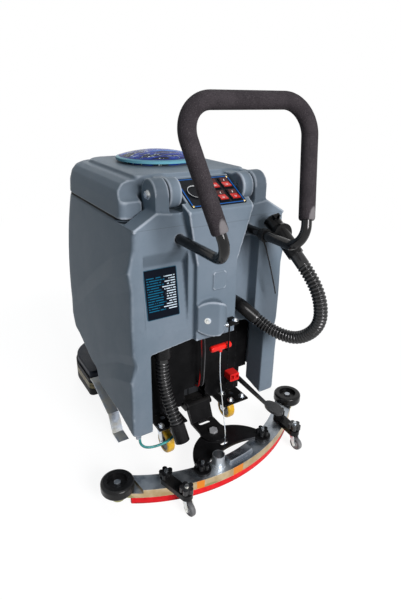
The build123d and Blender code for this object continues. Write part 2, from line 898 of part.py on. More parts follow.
socket_end = (handle_x, rear_y + handle_depth, handle_z)
with BuildPart() as handle_tube:
    with BuildLine() as handle_line:
        FilletPolyline(
            mirrored(socket_end),
            mirrored(side_low),
            mirrored(side_high),
            side_high,
            side_low,
            socket_end,
            radius=[handle_low_bend, handle_top_bend, handle_top_bend, handle_low_bend],
        )
    with BuildSketch(Plane(origin=mirrored(socket_end), z_dir=(0, -1, 0))):
        Circle(handle_tube_radius)
        Circle(handle_tube_radius - handle_tube_wall, mode=Mode.SUBTRACT)
    sweep()
handle_tube.part.label = "handle_tube"
export_step(handle_tube.part, "parts/handle_tube.step")

# Foam grip over the handle's loop
grip_share = (grip_end_z - handle_z) / (handle_top_z - handle_z)
grip_end = tuple(low + grip_share * (high - low) for low, high in zip(side_low, side_high))
grip_way = Vector(*side_high) - Vector(*side_low)
with BuildPart() as handle_grip:
    with BuildLine() as grip_line:
        FilletPolyline(
            mirrored(grip_end), mirrored(side_high), side_high, grip_end, radius=handle_top_bend
        )
    with BuildSketch(Plane(origin=mirrored(grip_end), z_dir=(-grip_way.X, grip_way.Y, grip_way.Z))):
        Circle(grip_radius)
        Circle(handle_tube_radius + running_gap, mode=Mode.SUBTRACT)
    sweep()
handle_grip.part.label = "handle_grip"
export_step(handle_grip.part, "parts/handle_grip.step")

# Chassis: base plate with a waist between the wheels, posts under the tank, back panel and hinge ears
carrier_x = base_waist - carrier_thick
with BuildPart() as chassis_frame:
    with BuildSketch(Plane.XY.offset(base_z)):
        with BuildLine():
            Polyline(
                (-base_half, rear_y + base_rear),
                (-lift_half - 30, rear_y + base_rear),
                (-lift_half - 30, lift_y + 29),
                (lift_half + 30, lift_y + 29),
                (lift_half + 30, rear_y + base_rear),
                (base_half, rear_y + base_rear),
                (base_half, rear_y + waist_rear),
                (base_waist, rear_y + waist_rear),
                (base_waist, rear_y + waist_front),
                (base_half, rear_y + waist_front),
                (base_half, rear_y + base_front),
                (-base_half, rear_y + base_front),
                (-base_half, rear_y + waist_front),
                (-base_waist, rear_y + waist_front),
                (-base_waist, rear_y + waist_rear),
                (-base_half, rear_y + waist_rear),
                close=True,
            )
        make_face()
    extrude(amount=base_thick)
    with BuildSketch(Plane.XY.offset(base_top_z)):
        with Locations(
            (-post_x, rear_y + post_rear + post_depth),
            (post_x, rear_y + post_rear + post_depth),
            (-post_x, rear_y + post_front),
            (post_x, rear_y + post_front),
        ):
            Rectangle(post_width, post_depth)
    extrude(amount=tank_floor_z - base_top_z)
    with BuildSketch(Plane.XZ.offset(-back_panel_y)):
        with Locations((0, base_top_z)):
            Rectangle(
                2 * (base_half + back_panel_over),
                tank_floor_z - base_top_z,
                align=(Align.CENTER, Align.MIN),
            )
        with Locations((0, back_wing_z)):
            Rectangle(
                2 * (leg_inner + back_wing_over),
                tank_floor_z - back_wing_z,
                align=(Align.CENTER, Align.MIN),
            )
        with Locations((0, base_top_z)):
            Rectangle(2 * lift_half, 60, align=(Align.CENTER, Align.MIN), mode=Mode.SUBTRACT)
    extrude(amount=-back_panel_thick)
    for side in (-1, 1):
        # Axle carriers
        with BuildSketch(Plane.YZ.offset(side * carrier_x)):
            with Locations((wheel_y, base_top_z + 4)):
                Rectangle(90, base_thick + 60)
        extrude(amount=side * carrier_thick)
        # Swivel bosses for the rear casters
        with BuildSketch(Plane.XY.offset(base_z)):
            with Locations((side * caster_x, caster_y)):
                Circle(caster_boss_radius)
        extrude(amount=-caster_boss_height)
        # Ears and pins of the lift arm and of the deck
        with BuildSketch(Plane.YZ.offset(side * (lift_half + face_gap))):
            with Locations((lift_y, lift_z)):
                Circle(lift_barrel)
            with Locations((lift_y, lift_z)):
                Rectangle(60, 2 * lift_barrel, align=(Align.MIN, Align.CENTER))
        extrude(amount=side * 8)
        with BuildSketch(Plane.YZ.offset(side * (deck_hinge_x + 12 + face_gap))):
            with Locations((deck_hinge_y, deck_hinge_z)):
                Circle(deck_barrel)
            with Locations((deck_hinge_y - deck_barrel, base_z)):
                Rectangle(2 * deck_barrel, deck_hinge_z - base_z, align=(Align.MIN, Align.MIN))
        extrude(amount=side * 8)
        with BuildSketch(Plane.YZ.offset(side * (deck_hinge_x - 10))):
            with Locations((deck_hinge_y, deck_hinge_z)):
                Circle(deck_hinge_pin)
        extrude(amount=side * (22 + 8))
    with BuildSketch(Plane.YZ):
        with Locations((lift_y, lift_z)):
            Circle(lift_pin)
    extrude(amount=lift_half + face_gap + 8, both=True)
    # Ear and pin of the pedal on the right
    pedal_inner = pedal_x - pedal_arm_width / 2
    with BuildSketch(Plane.YZ.offset(pedal_inner - face_gap)):
        with Locations((pedal_hinge_y, pedal_hinge_z)):
            Circle(2.4 * pedal_pin)
        with Locations((pedal_hinge_y, base_z)):
            Rectangle(4.8 * pedal_pin, pedal_hinge_z - base_z, align=(Align.CENTER, Align.MIN))
    extrude(amount=-(pedal_inner - face_gap - base_half + 6))
    with BuildSketch(Plane.YZ.offset(pedal_inner - face_gap)):
        with Locations((pedal_hinge_y, pedal_hinge_z)):
            Circle(pedal_pin)
    extrude(amount=pedal_arm_width + 2 * face_gap + 4)
    # Bores for the axle and the caster stems, clearance for the deck's arms
    with BuildSketch(Plane.YZ):
        with Locations((wheel_y, wheel_radius)):
            Circle(axle_radius)
    extrude(amount=2 * base_half, both=True, mode=Mode.SUBTRACT)
    with BuildSketch(Plane.XY.offset(base_z - caster_boss_height)):
        with Locations((-caster_x, caster_y), (caster_x, caster_y)):
            Circle(caster_stem_radius + running_gap)
    extrude(amount=caster_boss_height + base_thick, mode=Mode.SUBTRACT)
    with BuildSketch(Plane.XY.offset(base_z)):
        with Locations((-deck_hinge_x, deck_hinge_y), (deck_hinge_x, deck_hinge_y)):
            Rectangle(24 + face_gap, 2 * deck_barrel + 20)
    extrude(amount=base_thick, mode=Mode.SUBTRACT)
    with BuildSketch(Plane.YZ):
        with Locations((deck_hinge_y, deck_hinge_z)):
            Circle(deck_hinge_pin)
    extrude(amount=deck_hinge_x + 12 + face_gap + 8, both=True)
    # Socket block for the water tube on the rear edge
    with BuildSketch(Plane.XY.offset(tube_base_z)):
        with Locations((tube_base_x, tube_base_y - tube_socket_radius)):
            Rectangle(
                2 * tube_socket_radius,
                rear_y + base_rear + 10 - tube_base_y + tube_socket_radius,
                align=(Align.CENTER, Align.MIN),
            )
    extrude(amount=2 * tube_socket_radius)
chassis_frame.part.label = "chassis_frame"
export_step(chassis_frame.part, "parts/chassis_frame.step")

# Two batteries side by side on the base plate
with BuildPart() as batteries:
    with BuildSketch(Plane.XY.offset(base_top_z)):
        battery_x = (battery_width + battery_gap) / 2
        with Locations((-battery_x, wheel_y), (battery_x, wheel_y)):
            Rectangle(battery_width, battery_length)
    extrude(amount=battery_height)
    with BuildSketch(Plane.XY.offset(base_top_z + battery_height)):
        for side in (-1, 1):
            for end in (-1, 1):
                with Locations((side * battery_x, wheel_y + end * battery_length * 0.36)):
                    Circle(8)
    extrude(amount=12)
    # The carriers stand beside the cases, so their lower corners are cut back
    with BuildSketch(Plane.XY.offset(base_top_z)):
        for side in (-1, 1):
            with Locations((side * (carrier_x + carrier_thick / 2 - face_gap), wheel_y)):
                Rectangle(carrier_thick, 92)
    extrude(amount=60, mode=Mode.SUBTRACT)
batteries.part.label = "batteries"
export_step(batteries.part, "parts/batteries.step")

# Suction motor under the tank floor
with BuildPart() as vacuum_motor:
    with BuildSketch(Plane.XY.offset(tank_floor_z)):
        with Locations((0, wheel_y)):
            Circle(vacuum_motor_radius)
    extrude(amount=-30)
    with BuildSketch(Plane.XY.offset(tank_floor_z - 30)):
        with Locations((0, wheel_y)):
            Circle(vacuum_motor_radius * 0.72)
    extrude(amount=-45)
vacuum_motor.part.label = "vacuum_motor"
export_step(vacuum_motor.part, "parts/vacuum_motor.step")

# Axle across both carriers
axle_half = wheel_x + wheel_width / 2 + 8
with BuildPart() as wheel_axle:
    with BuildSketch(Plane.YZ):
        with Locations((wheel_y, wheel_radius)):
            Circle(axle_radius)
    extrude(amount=axle_half, both=True)
    for side in (-1, 1):
        with BuildSketch(Plane.YZ.offset(side * (wheel_x + wheel_width / 2 + face_gap))):
            with Locations((wheel_y, wheel_radius)):
                Circle(1.7 * axle_radius)
        extrude(amount=side * 5)
wheel_axle.part.label = "wheel_axle"
export_step(wheel_axle.part, "parts/wheel_axle.step")

# Main wheels: a moulded hub with a rubber tread, dished on both faces
for side, name in ((-1, "main_wheel_left"), (1, "main_wheel_right")):
    with BuildPart() as main_wheel:
        with BuildSketch(Plane.YZ.offset(side * wheel_x)):
            with Locations((wheel_y, wheel_radius)):
                Circle(wheel_radius)
        extrude(amount=wheel_width / 2, both=True)
        chamfer(main_wheel.edges().filter_by(GeomType.CIRCLE), 4)
        for face in (-1, 1):
            with BuildSketch(Plane.YZ.offset(side * wheel_x + face * wheel_width / 2)):
                with Locations((wheel_y, wheel_radius)):
                    Circle(wheel_radius * 0.72)
                    Circle(wheel_radius * 0.28, mode=Mode.SUBTRACT)
            extrude(amount=-face * wheel_width * 0.3, mode=Mode.SUBTRACT)
        with BuildSketch(Plane.YZ):
            with Locations((wheel_y, wheel_radius)):
                Circle(axle_radius + running_gap)
        extrude(amount=2 * wheel_x, both=True, mode=Mode.SUBTRACT)
    main_wheel.part.label = name
    export_step(main_wheel.part, f"parts/{name}.step")

# Rear casters: swivel fork and polyurethane wheel; the left one trails rearward and the right one forward
for side, trail_way, name in ((-1, -1, "left"), (1, 1, "right")):
    swivel = (side * caster_x, caster_y)
    axle_y = caster_y + trail_way * caster_trail
    fork_half = caster_wheel_width / 2 + 4
    fork_top_z = base_z - caster_boss_height - face_gap
    with BuildPart() as caster_fork:
        with BuildSketch(Plane.XY.offset(fork_top_z)):
            with Locations(swivel):
                Circle(caster_boss_radius)
        extrude(amount=-8)
        with BuildSketch(Plane.XY.offset(fork_top_z)):
            with Locations(swivel):
                Circle(caster_stem_radius)
        extrude(amount=caster_boss_height + base_thick)
        for cheek in (-1, 1):
            cheek_x = swivel[0] + cheek * fork_half
            with BuildSketch(Plane.YZ.offset(cheek_x)):
                with BuildLine():
                    Polyline(
                        (caster_y - trail_way * caster_boss_radius * 0.8, fork_top_z),
                        (caster_y + trail_way * caster_boss_radius * 0.9, fork_top_z),
                        (axle_y + trail_way * 11, caster_wheel_radius),
                        (axle_y - trail_way * 2, caster_wheel_radius - 10),
                        (axle_y - trail_way * 12, caster_wheel_radius),
                        close=True,
                    )
                make_face()
            extrude(amount=-cheek * 3)
        with BuildSketch(Plane.XY.offset(fork_top_z - 8)):
            with Locations(swivel):
                Rectangle(2 * fork_half, 1.5 * caster_boss_radius)
        extrude(amount=8)
        with BuildSketch(Plane.YZ.offset(swivel[0])):
            with Locations((axle_y, caster_wheel_radius)):
                Circle(caster_axle_radius)
        extrude(amount=fork_half + 3, both=True)
    caster_fork.part.label = f"caster_fork_{name}"
    export_step(caster_fork.part, f"parts/caster_fork_{name}.step")
    with BuildPart() as caster_wheel:
        with BuildSketch(Plane.YZ.offset(swivel[0])):
            with Locations((axle_y, caster_wheel_radius)):
                Circle(caster_wheel_radius)
        extrude(amount=caster_wheel_width / 2, both=True)
        fillet(caster_wheel.edges().filter_by(GeomType.CIRCLE), 6)
        with BuildSketch(Plane.YZ.offset(swivel[0])):
            with Locations((axle_y, caster_wheel_radius)):
                Circle(caster_axle_radius + running_gap)
        extrude(amount=caster_wheel_width, both=True, mode=Mode.SUBTRACT)
    caster_wheel.part.label = f"caster_wheel_{name}"
    export_step(caster_wheel.part, f"parts/caster_wheel_{name}.step")

# Scrub deck: a pressed housing with hinge arms at its rear edge
with BuildPart() as brush_deck:
    with BuildSketch(Plane.XY.offset(deck_rim_z)):
        plan_outline(deck_half, rear_y + deck_rear, rear_y + deck_front, deck_back_corner, deck_corner)
    extrude(amount=deck_top_z - deck_rim_z)
    fillet(brush_deck.faces().sort_by(Axis.Z)[-1].edges(), deck_plate * 0.9)
    with BuildSketch(Plane.XY.offset(deck_rim_z)):
        plan_outline(
            deck_half - deck_wall,
            rear_y + deck_rear + deck_wall,
            rear_y + deck_front - deck_wall,
            deck_back_corner - deck_wall,
            deck_corner - deck_wall,
        )
    extrude(amount=deck_top_z - deck_plate - deck_rim_z, mode=Mode.SUBTRACT)
    for side in (-1, 1):
        with BuildSketch(Plane.YZ.offset(side * (deck_hinge_x + 12))):
            with Locations((deck_hinge_y, deck_hinge_z)):
                Circle(deck_barrel)
            with BuildLine():
                Polyline(
                    (deck_hinge_y, deck_hinge_z + deck_barrel),
                    (rear_y + deck_rear + 40, deck_top_z + 10),
                    (rear_y + deck_rear + 40, deck_top_z - 2),
                    (rear_y + deck_rear + 2, deck_top_z - deck_plate),
                    (deck_hinge_y, deck_hinge_z - deck_barrel),
                    close=True,
                )
            make_face()
        extrude(amount=-side * 22)
    with BuildSketch(Plane.YZ):
        with Locations((deck_hinge_y, deck_hinge_z)):
            Circle(deck_hinge_pin + running_gap)
    extrude(amount=2 * deck_hinge_x, both=True, mode=Mode.SUBTRACT)
    with BuildSketch(Plane.XY.offset(deck_rim_z)):
        with Locations((-disc_x, disc_y), (disc_x, disc_y)):
            Circle(disc_shaft_radius + running_gap)
    extrude(amount=deck_top_z - deck_rim_z, mode=Mode.SUBTRACT)
brush_deck.part.label = "brush_deck"
export_step(brush_deck.part, "parts/brush_deck.step")

# Splash skirt round the deck
with BuildPart() as deck_skirt:
    with BuildSketch(Plane.XY.offset(skirt_bottom_z)):
        skirt_out = running_gap + skirt_thick
        plan_outline(
            deck_half + skirt_out,
            rear_y + deck_rear - skirt_out,
            rear_y + deck_front + skirt_out,
            deck_back_corner + skirt_out,
            deck_corner + skirt_out,
        )
        with BuildSketch(mode=Mode.PRIVATE) as skirt_inside:
            plan_outline(
                deck_half + running_gap,
                rear_y + deck_rear - running_gap,
                rear_y + deck_front + running_gap,
                deck_back_corner + running_gap,
                deck_corner + running_gap,
            )
        add(skirt_inside.sketch, mode=Mode.SUBTRACT)
    extrude(amount=skirt_top_z - skirt_bottom_z)
deck_skirt.part.label = "deck_skirt"
export_step(deck_skirt.part, "parts/deck_skirt.step")

# Brush motors on the deck, one over each disc
with BuildPart() as brush_motors:
    with BuildSketch(Plane.XY.offset(deck_top_z)):
        with Locations((-disc_x, disc_y), (disc_x, disc_y)):
            Circle(motor_radius)
    extrude(amount=motor_height)
    with BuildSketch(Plane.XY.offset(deck_top_z)):
        with Locations((-disc_x, disc_y), (disc_x, disc_y)):
            Circle(disc_shaft_radius + running_gap)
    extrude(amount=face_gap + 2, mode=Mode.SUBTRACT)
brush_motors.part.label = "brush_motors"
export_step(brush_motors.part, "parts/brush_motors.step")

# Scrub discs: a driver plate with its shaft, and a fibre pad under it
for side, name in ((-1, "scrub_disc_left"), (1, "scrub_disc_right")):
    with BuildPart() as scrub_disc:
        with BuildSketch(Plane.XY.offset(pad_thick)):
            with Locations((side * disc_x, disc_y)):
                Circle(disc_radius)
        extrude(amount=driver_thick)
        with BuildSketch(Plane.XY.offset(pad_thick + driver_thick)):
            with Locations((side * disc_x, disc_y)):
                Circle(2.4 * disc_shaft_radius)
        extrude(amount=deck_top_z - deck_plate - face_gap - pad_thick - driver_thick)
        with BuildSketch(Plane.XY.offset(pad_thick + driver_thick)):
            with Locations((side * disc_x, disc_y)):
                Circle(disc_shaft_radius)
        extrude(amount=deck_top_z - pad_thick - driver_thick)
    with BuildPart() as scrub_pad:
        with BuildSketch(Plane.XY.offset(floor_z)):
            with Locations((side * disc_x, disc_y)):
                Circle(disc_radius)
                Circle(2.4 * disc_shaft_radius, mode=Mode.SUBTRACT)
        extrude(amount=pad_thick)
    scrub_pair = Compound(children=[scrub_disc.part.solid(), scrub_pad.part.solid()])
    scrub_pair.label = name
    export_step(scrub_pair, f"parts/{name}.step")

# Foot pedal that raises the deck: a bar with an oval tread
with BuildPart() as deck_pedal:
    with BuildSketch(Plane.YZ.offset(pedal_x - pedal_arm_width / 2)):
        with Locations((pedal_hinge_y, pedal_hinge_z)):
            Circle(2.4 * pedal_pin)
        with BuildLine():
            Polyline(
                (pedal_hinge_y, pedal_hinge_z + pedal_arm_height / 2),
                (pedal_hinge_y, pedal_hinge_z - pedal_arm_height / 2),
                (pedal_pad_y + pedal_pad_long / 4, pedal_pad_z - pedal_arm_height / 2),
                (pedal_pad_y - pedal_pad_long / 4, pedal_pad_z - pedal_arm_height / 4),
                (pedal_pad_y - pedal_pad_long / 4, pedal_pad_z),
                (pedal_pad_y + pedal_pad_long / 2, pedal_pad_z + 1),
                close=True,
            )
        make_face()
    extrude(amount=pedal_arm_width)
    with BuildSketch(Plane.XY.offset(pedal_pad_z)):
        with Locations((pedal_x, pedal_pad_y)):
            Ellipse(pedal_pad_wide / 2, pedal_pad_long / 2)
    extrude(amount=pedal_pad_thick)
    with BuildSketch(Plane.YZ.offset(pedal_x)):
        with Locations((pedal_hinge_y, pedal_hinge_z)):
            Circle(pedal_pin + running_gap)
    extrude(amount=pedal_arm_width, both=True, mode=Mode.SUBTRACT)
deck_pedal.part.label = "deck_pedal"
export_step(deck_pedal.part, "parts/deck_pedal.step")

# Bent flat strap beside the left wheel, bolted to the front of the base plate
strap_inner = -220.0
strap_width = 36.0
strap_thick = 4.0
strap_tab = 34.0
strap_lap = post_inset - 1.0
strap_profile = [
    (base_front - 6.0, base_top_z),
    (360.0, base_top_z),
    (236.0, 66.0),
    (226.0, 66.0),
    (196.0, 7.0),
    (146.0, 7.0),
]
strap_lower = [(rear_y + y, z) for y, z in strap_profile]
strap_upper = [(y - strap_thick, z + strap_thick) for y, z in strap_lower]
with BuildPart() as side_strap:
    with BuildSketch(Plane.YZ.offset(strap_inner)):
        with BuildLine():
            Polyline(strap_lower + strap_upper[::-1], close=True)
        make_face()
    extrude(amount=-strap_width)
    with BuildSketch(Plane.XY.offset(base_top_z)):
        with Locations((strap_inner - strap_width, rear_y + base_front - 6 - strap_thick)):
            Rectangle(
                strap_width - strap_inner - base_half + strap_lap, strap_tab, align=(Align.MIN, Align.MAX)
            )
    extrude(amount=strap_thick)
side_strap.part.label = "side_strap"
export_step(side_strap.part, "parts/side_strap.step")

# Lift arm: a flat tongue over the squeegee's yoke, rising to a barrel on the chassis
riser_y = lift_y - 34.0
with BuildPart() as lift_arm:
    with BuildSketch(Plane.XY.offset(tongue_z)):
        with Locations((0, pivot_y)):
            Circle(tongue_radius)
            Rectangle(2 * lift_half, riser_y - pivot_y, align=(Align.CENTER, Align.MIN))
            Circle(pivot_radius + running_gap, mode=Mode.SUBTRACT)
        with Locations((0, riser_y - 12)):
            SlotOverall(1.1 * lift_half, 0.4 * lift_half, mode=Mode.SUBTRACT)
    extrude(amount=tongue_thick)
    with BuildSketch(Plane.YZ):
        with BuildLine():
            Polyline(
                (riser_y, tongue_z),
                (riser_y + tongue_thick, tongue_z),
                (lift_y + 0.6 * lift_barrel, lift_z - 0.8 * lift_barrel),
                (lift_y - 0.8 * lift_barrel, lift_z + 0.6 * lift_barrel),
                (riser_y, tongue_top_z),
                close=True,
            )
        make_face()
        with Locations((lift_y, lift_z)):
            Circle(lift_barrel)
    extrude(amount=lift_half, both=True)
    with BuildSketch(Plane.YZ):
        with Locations((lift_y, lift_z)):
            Circle(lift_pin + running_gap)
    extrude(amount=2 * lift_half, both=True, mode=Mode.SUBTRACT)
lift_arm.part.label = "lift_arm"
export_step(lift_arm.part, "parts/lift_arm.step")

# Squeegee plan: origin at the pivot, X along the blades
squeegee_plane = Plane(
    origin=(0, pivot_y, 0),
    x_dir=(cos(radians(squeegee_yaw)), sin(radians(squeegee_yaw)), 0),
    z_dir=(0, 0, 1),
)


def arc_band(inner, outer, left, right):
    """Part of a ring about the squeegee's centre of curvature, between two places across it."""
    with Locations((0, arc_centre)):
        Circle(outer)
        Circle(inner, mode=Mode.SUBTRACT)
    with Locations((left, arc_centre)):
        Rectangle(right - left, 2 * outer, align=(Align.MIN, Align.MAX), mode=Mode.INTERSECT)


def upright(across):
    """A fore-and-aft upright plane through one place across the squeegee."""
    return Plane(
        origin=squeegee_plane.from_local_coords((across, 0, 0)),
        x_dir=squeegee_plane.y_dir,
        z_dir=squeegee_plane.x_dir,
    )


def star_outline(place):
    """A clamp knob's plan: a round middle with rounded lobes."""
    with Locations(place):
        Circle(knob_radius - knob_lobe)
        with PolarLocations(knob_radius - knob_lobe, knob_lobes):
            Circle(knob_lobe)


yoke_feet = [(-yoke_foot_x, yoke_foot_y), (yoke_foot_x, yoke_foot_y)]
bracket_feet = [(-bracket_x, bracket_y), (bracket_x, bracket_y)]
towed_places = [(-towed_x, towed_y), (towed_x, towed_y)]
roller_places = [(-roller_x, roller_y), (roller_x, roller_y)]
knob_rise = face_gap + knob_neck + knob_height
hub_top_z = roller_z + roller_height - roller_dish

# Casting: a curved channel open below, with low tails and bosses for the rollers, studs and the suction port
with BuildPart() as squeegee_casting:
    with BuildSketch(squeegee_plane.offset(casting_bottom_z)):
        arc_band(casting_inner, casting_outer, -casting_half, casting_half)
    extrude(amount=casting_top_z - casting_bottom_z)
    with BuildSketch(squeegee_plane.offset(casting_bottom_z)):
        arc_band(casting_inner, casting_outer, -tail_half, tail_half)
    extrude(amount=roller_z - face_gap - casting_bottom_z)
    with BuildSketch(squeegee_plane.offset(casting_top_z)):
        arc_band(hump_inner, hump_outer, hump_left, hump_right)
    extrude(amount=hump_height, taper=12)
    with BuildSketch(squeegee_plane.offset(end_boss_z)):
        with Locations(*roller_places):
            Circle(end_boss_radius)
    extrude(amount=roller_z - face_gap - end_boss_z)
    with BuildSketch(squeegee_plane.offset(casting_bottom_z)):
        arc_band(
            casting_inner + channel_wall,
            casting_outer - channel_wall,
            -blade_half + channel_wall,
            blade_half - channel_wall,
        )
    extrude(amount=roller_z - face_gap - casting_skin - casting_bottom_z, mode=Mode.SUBTRACT)
    with BuildSketch(squeegee_plane.offset(casting_top_z)):
        with Locations((port_x, port_y)):
            Circle(port_flange)
    extrude(amount=port_flange_thick)
    with BuildSketch(squeegee_plane.offset(casting_top_z)):
        with Locations((port_x, port_y)):
            Circle(port_radius)
    extrude(amount=port_height)
    with BuildSketch(squeegee_plane.offset(casting_bottom_z)):
        with Locations((port_x, port_y)):
            Circle(port_radius - port_wall)
    extrude(amount=casting_top_z + port_height - casting_bottom_z, mode=Mode.SUBTRACT)
    with BuildSketch(squeegee_plane.offset(casting_top_z)):
        with Locations(*yoke_feet):
            Circle(stud_radius)
    extrude(amount=yoke_thick + knob_rise + stud_over)
    with BuildSketch(squeegee_plane.offset(casting_top_z)):
        with Locations(*bracket_feet):
            Circle(stud_radius)
    extrude(amount=bracket_thick + knob_rise + stud_over)
    with BuildSketch(squeegee_plane.offset(roller_z - face_gap)):
        with Locations(*roller_places):
            Circle(roller_pin)
    extrude(amount=hub_top_z - roller_z + 2 * face_gap)
    with BuildSketch(squeegee_plane.offset(hub_top_z + face_gap)):
        with Locations(*roller_places):
            RegularPolygon(roller_head, 6)
    extrude(amount=roller_head_thick)
squeegee_casting.part.label = "squeegee_casting"
export_step(squeegee_casting.part, "parts/squeegee_casting.step")

# Wiper blades: two curved strips under the casting's walls
with BuildPart() as rear_blade:
    with BuildSketch(squeegee_plane.offset(blade_bottom_z)):
        blade_outer = casting_outer - blade_inset
        arc_band(blade_outer - blade_thick, blade_outer, -blade_half, blade_half)
    extrude(amount=casting_bottom_z - blade_bottom_z)
with BuildPart() as front_blade:
    with BuildSketch(squeegee_plane.offset(blade_bottom_z)):
        blade_inner = casting_inner + blade_inset
        arc_band(blade_inner, blade_inner + blade_thick, -blade_half, blade_half)
    extrude(amount=casting_bottom_z - blade_bottom_z)
squeegee_blades = Compound(children=[rear_blade.part.solid(), front_blade.part.solid()])
squeegee_blades.label = "squeegee_blades"
export_step(squeegee_blades, "parts/squeegee_blades.step")

# Yoke: a crescent plate clamped to the casting by two knobs, with the pivot bolt and a slotted cable lug
with BuildPart() as squeegee_yoke:
    with BuildSketch(squeegee_plane.offset(casting_top_z)):
        with Locations((0, crescent_y)):
            Circle(crescent_radius)
        with Locations((0, hollow_y)):
            Circle(hollow_radius, mode=Mode.SUBTRACT)
        with Locations((0, yoke_foot_y)):
            Rectangle(
                4 * crescent_radius,
                4 * crescent_radius,
                align=(Align.CENTER, Align.MAX),
                mode=Mode.SUBTRACT,
            )
        with Locations(*yoke_feet):
            Circle(yoke_foot_radius)
        Circle(yoke_hub_radius)
        with Locations((port_x, port_y)):
            Circle(port_flange + port_room, mode=Mode.SUBTRACT)
        with Locations(*yoke_feet):
            Circle(stud_radius + running_gap, mode=Mode.SUBTRACT)
        with Locations((0, cable_slot_y)):
            SlotOverall(cable_slot_long, cable_slot_wide, mode=Mode.SUBTRACT)
    extrude(amount=yoke_thick)
    with BuildSketch(squeegee_plane.offset(yoke_top_z)):
        Circle(pivot_radius)
    extrude(amount=tongue_top_z + face_gap - yoke_top_z)
    with BuildSketch(squeegee_plane.offset(tongue_top_z + face_gap)):
        RegularPolygon(pivot_head_radius, 6)
    extrude(amount=pivot_head)
squeegee_yoke.part.label = "squeegee_yoke"
export_step(squeegee_yoke.part, "parts/squeegee_yoke.step")

# Brackets that carry the towed casters behind the blade
brackets = []
for foot, stem in zip(bracket_feet, towed_places):
    with BuildPart() as caster_bracket:
        with BuildSketch(squeegee_plane.offset(casting_top_z)):
            with Locations(foot, stem):
                Circle(bracket_radius)
            make_hull()
            with Locations(foot):
                Circle(stud_radius + running_gap, mode=Mode.SUBTRACT)
            with Locations(stem):
                Circle(towed_stem_radius + running_gap, mode=Mode.SUBTRACT)
        extrude(amount=bracket_thick)
    brackets.append(caster_bracket.part.solid())
caster_brackets = Compound(children=brackets)
caster_brackets.label = "caster_brackets"
export_step(caster_brackets, "parts/caster_brackets.step")

# Clamp knobs on the studs
knob_places = {
    "star_knob_yoke_left": (yoke_feet[0], yoke_top_z),
    "star_knob_yoke_right": (yoke_feet[1], yoke_top_z),
    "star_knob_bracket_left": (bracket_feet[0], bracket_top_z),
    "star_knob_bracket_right": (bracket_feet[1], bracket_top_z),
}
for name, (place, seat_z) in knob_places.items():
    with BuildPart() as star_knob:
        with BuildSketch(squeegee_plane.offset(seat_z + face_gap)):
            with Locations(place):
                Circle(knob_neck_radius)
        extrude(amount=knob_neck)
        with BuildSketch(squeegee_plane.offset(seat_z + face_gap + knob_neck)):
            star_outline(place)
        extrude(amount=knob_height)
        with BuildSketch(squeegee_plane.offset(seat_z)):
            with Locations(place):
                Circle(stud_radius + running_gap)
        extrude(amount=2 * knob_rise, mode=Mode.SUBTRACT)
    star_knob.part.label = name
    export_step(star_knob.part, f"parts/{name}.step")

# Bumper rollers at the squeegee's ends: dished discs that turn on the end bosses
for place, side in zip(roller_places, ("left", "right")):
    with BuildPart() as bumper_roller:
        with BuildSketch(squeegee_plane.offset(roller_z)):
            with Locations(place):
                Circle(roller_radius)
        extrude(amount=roller_height)
        fillet(bumper_roller.edges().filter_by(GeomType.CIRCLE), 0.25 * roller_height)
        with BuildSketch(squeegee_plane.offset(hub_top_z)):
            with Locations(place):
                Circle(0.62 * roller_radius)
        extrude(amount=roller_height, mode=Mode.SUBTRACT)
        with BuildSketch(squeegee_plane.offset(roller_z)):
            with Locations(place):
                Circle(roller_pin + running_gap)
        extrude(amount=roller_height, mode=Mode.SUBTRACT)
    bumper_roller.part.label = f"bumper_roller_{side}"
    export_step(bumper_roller.part, f"parts/bumper_roller_{side}.step")

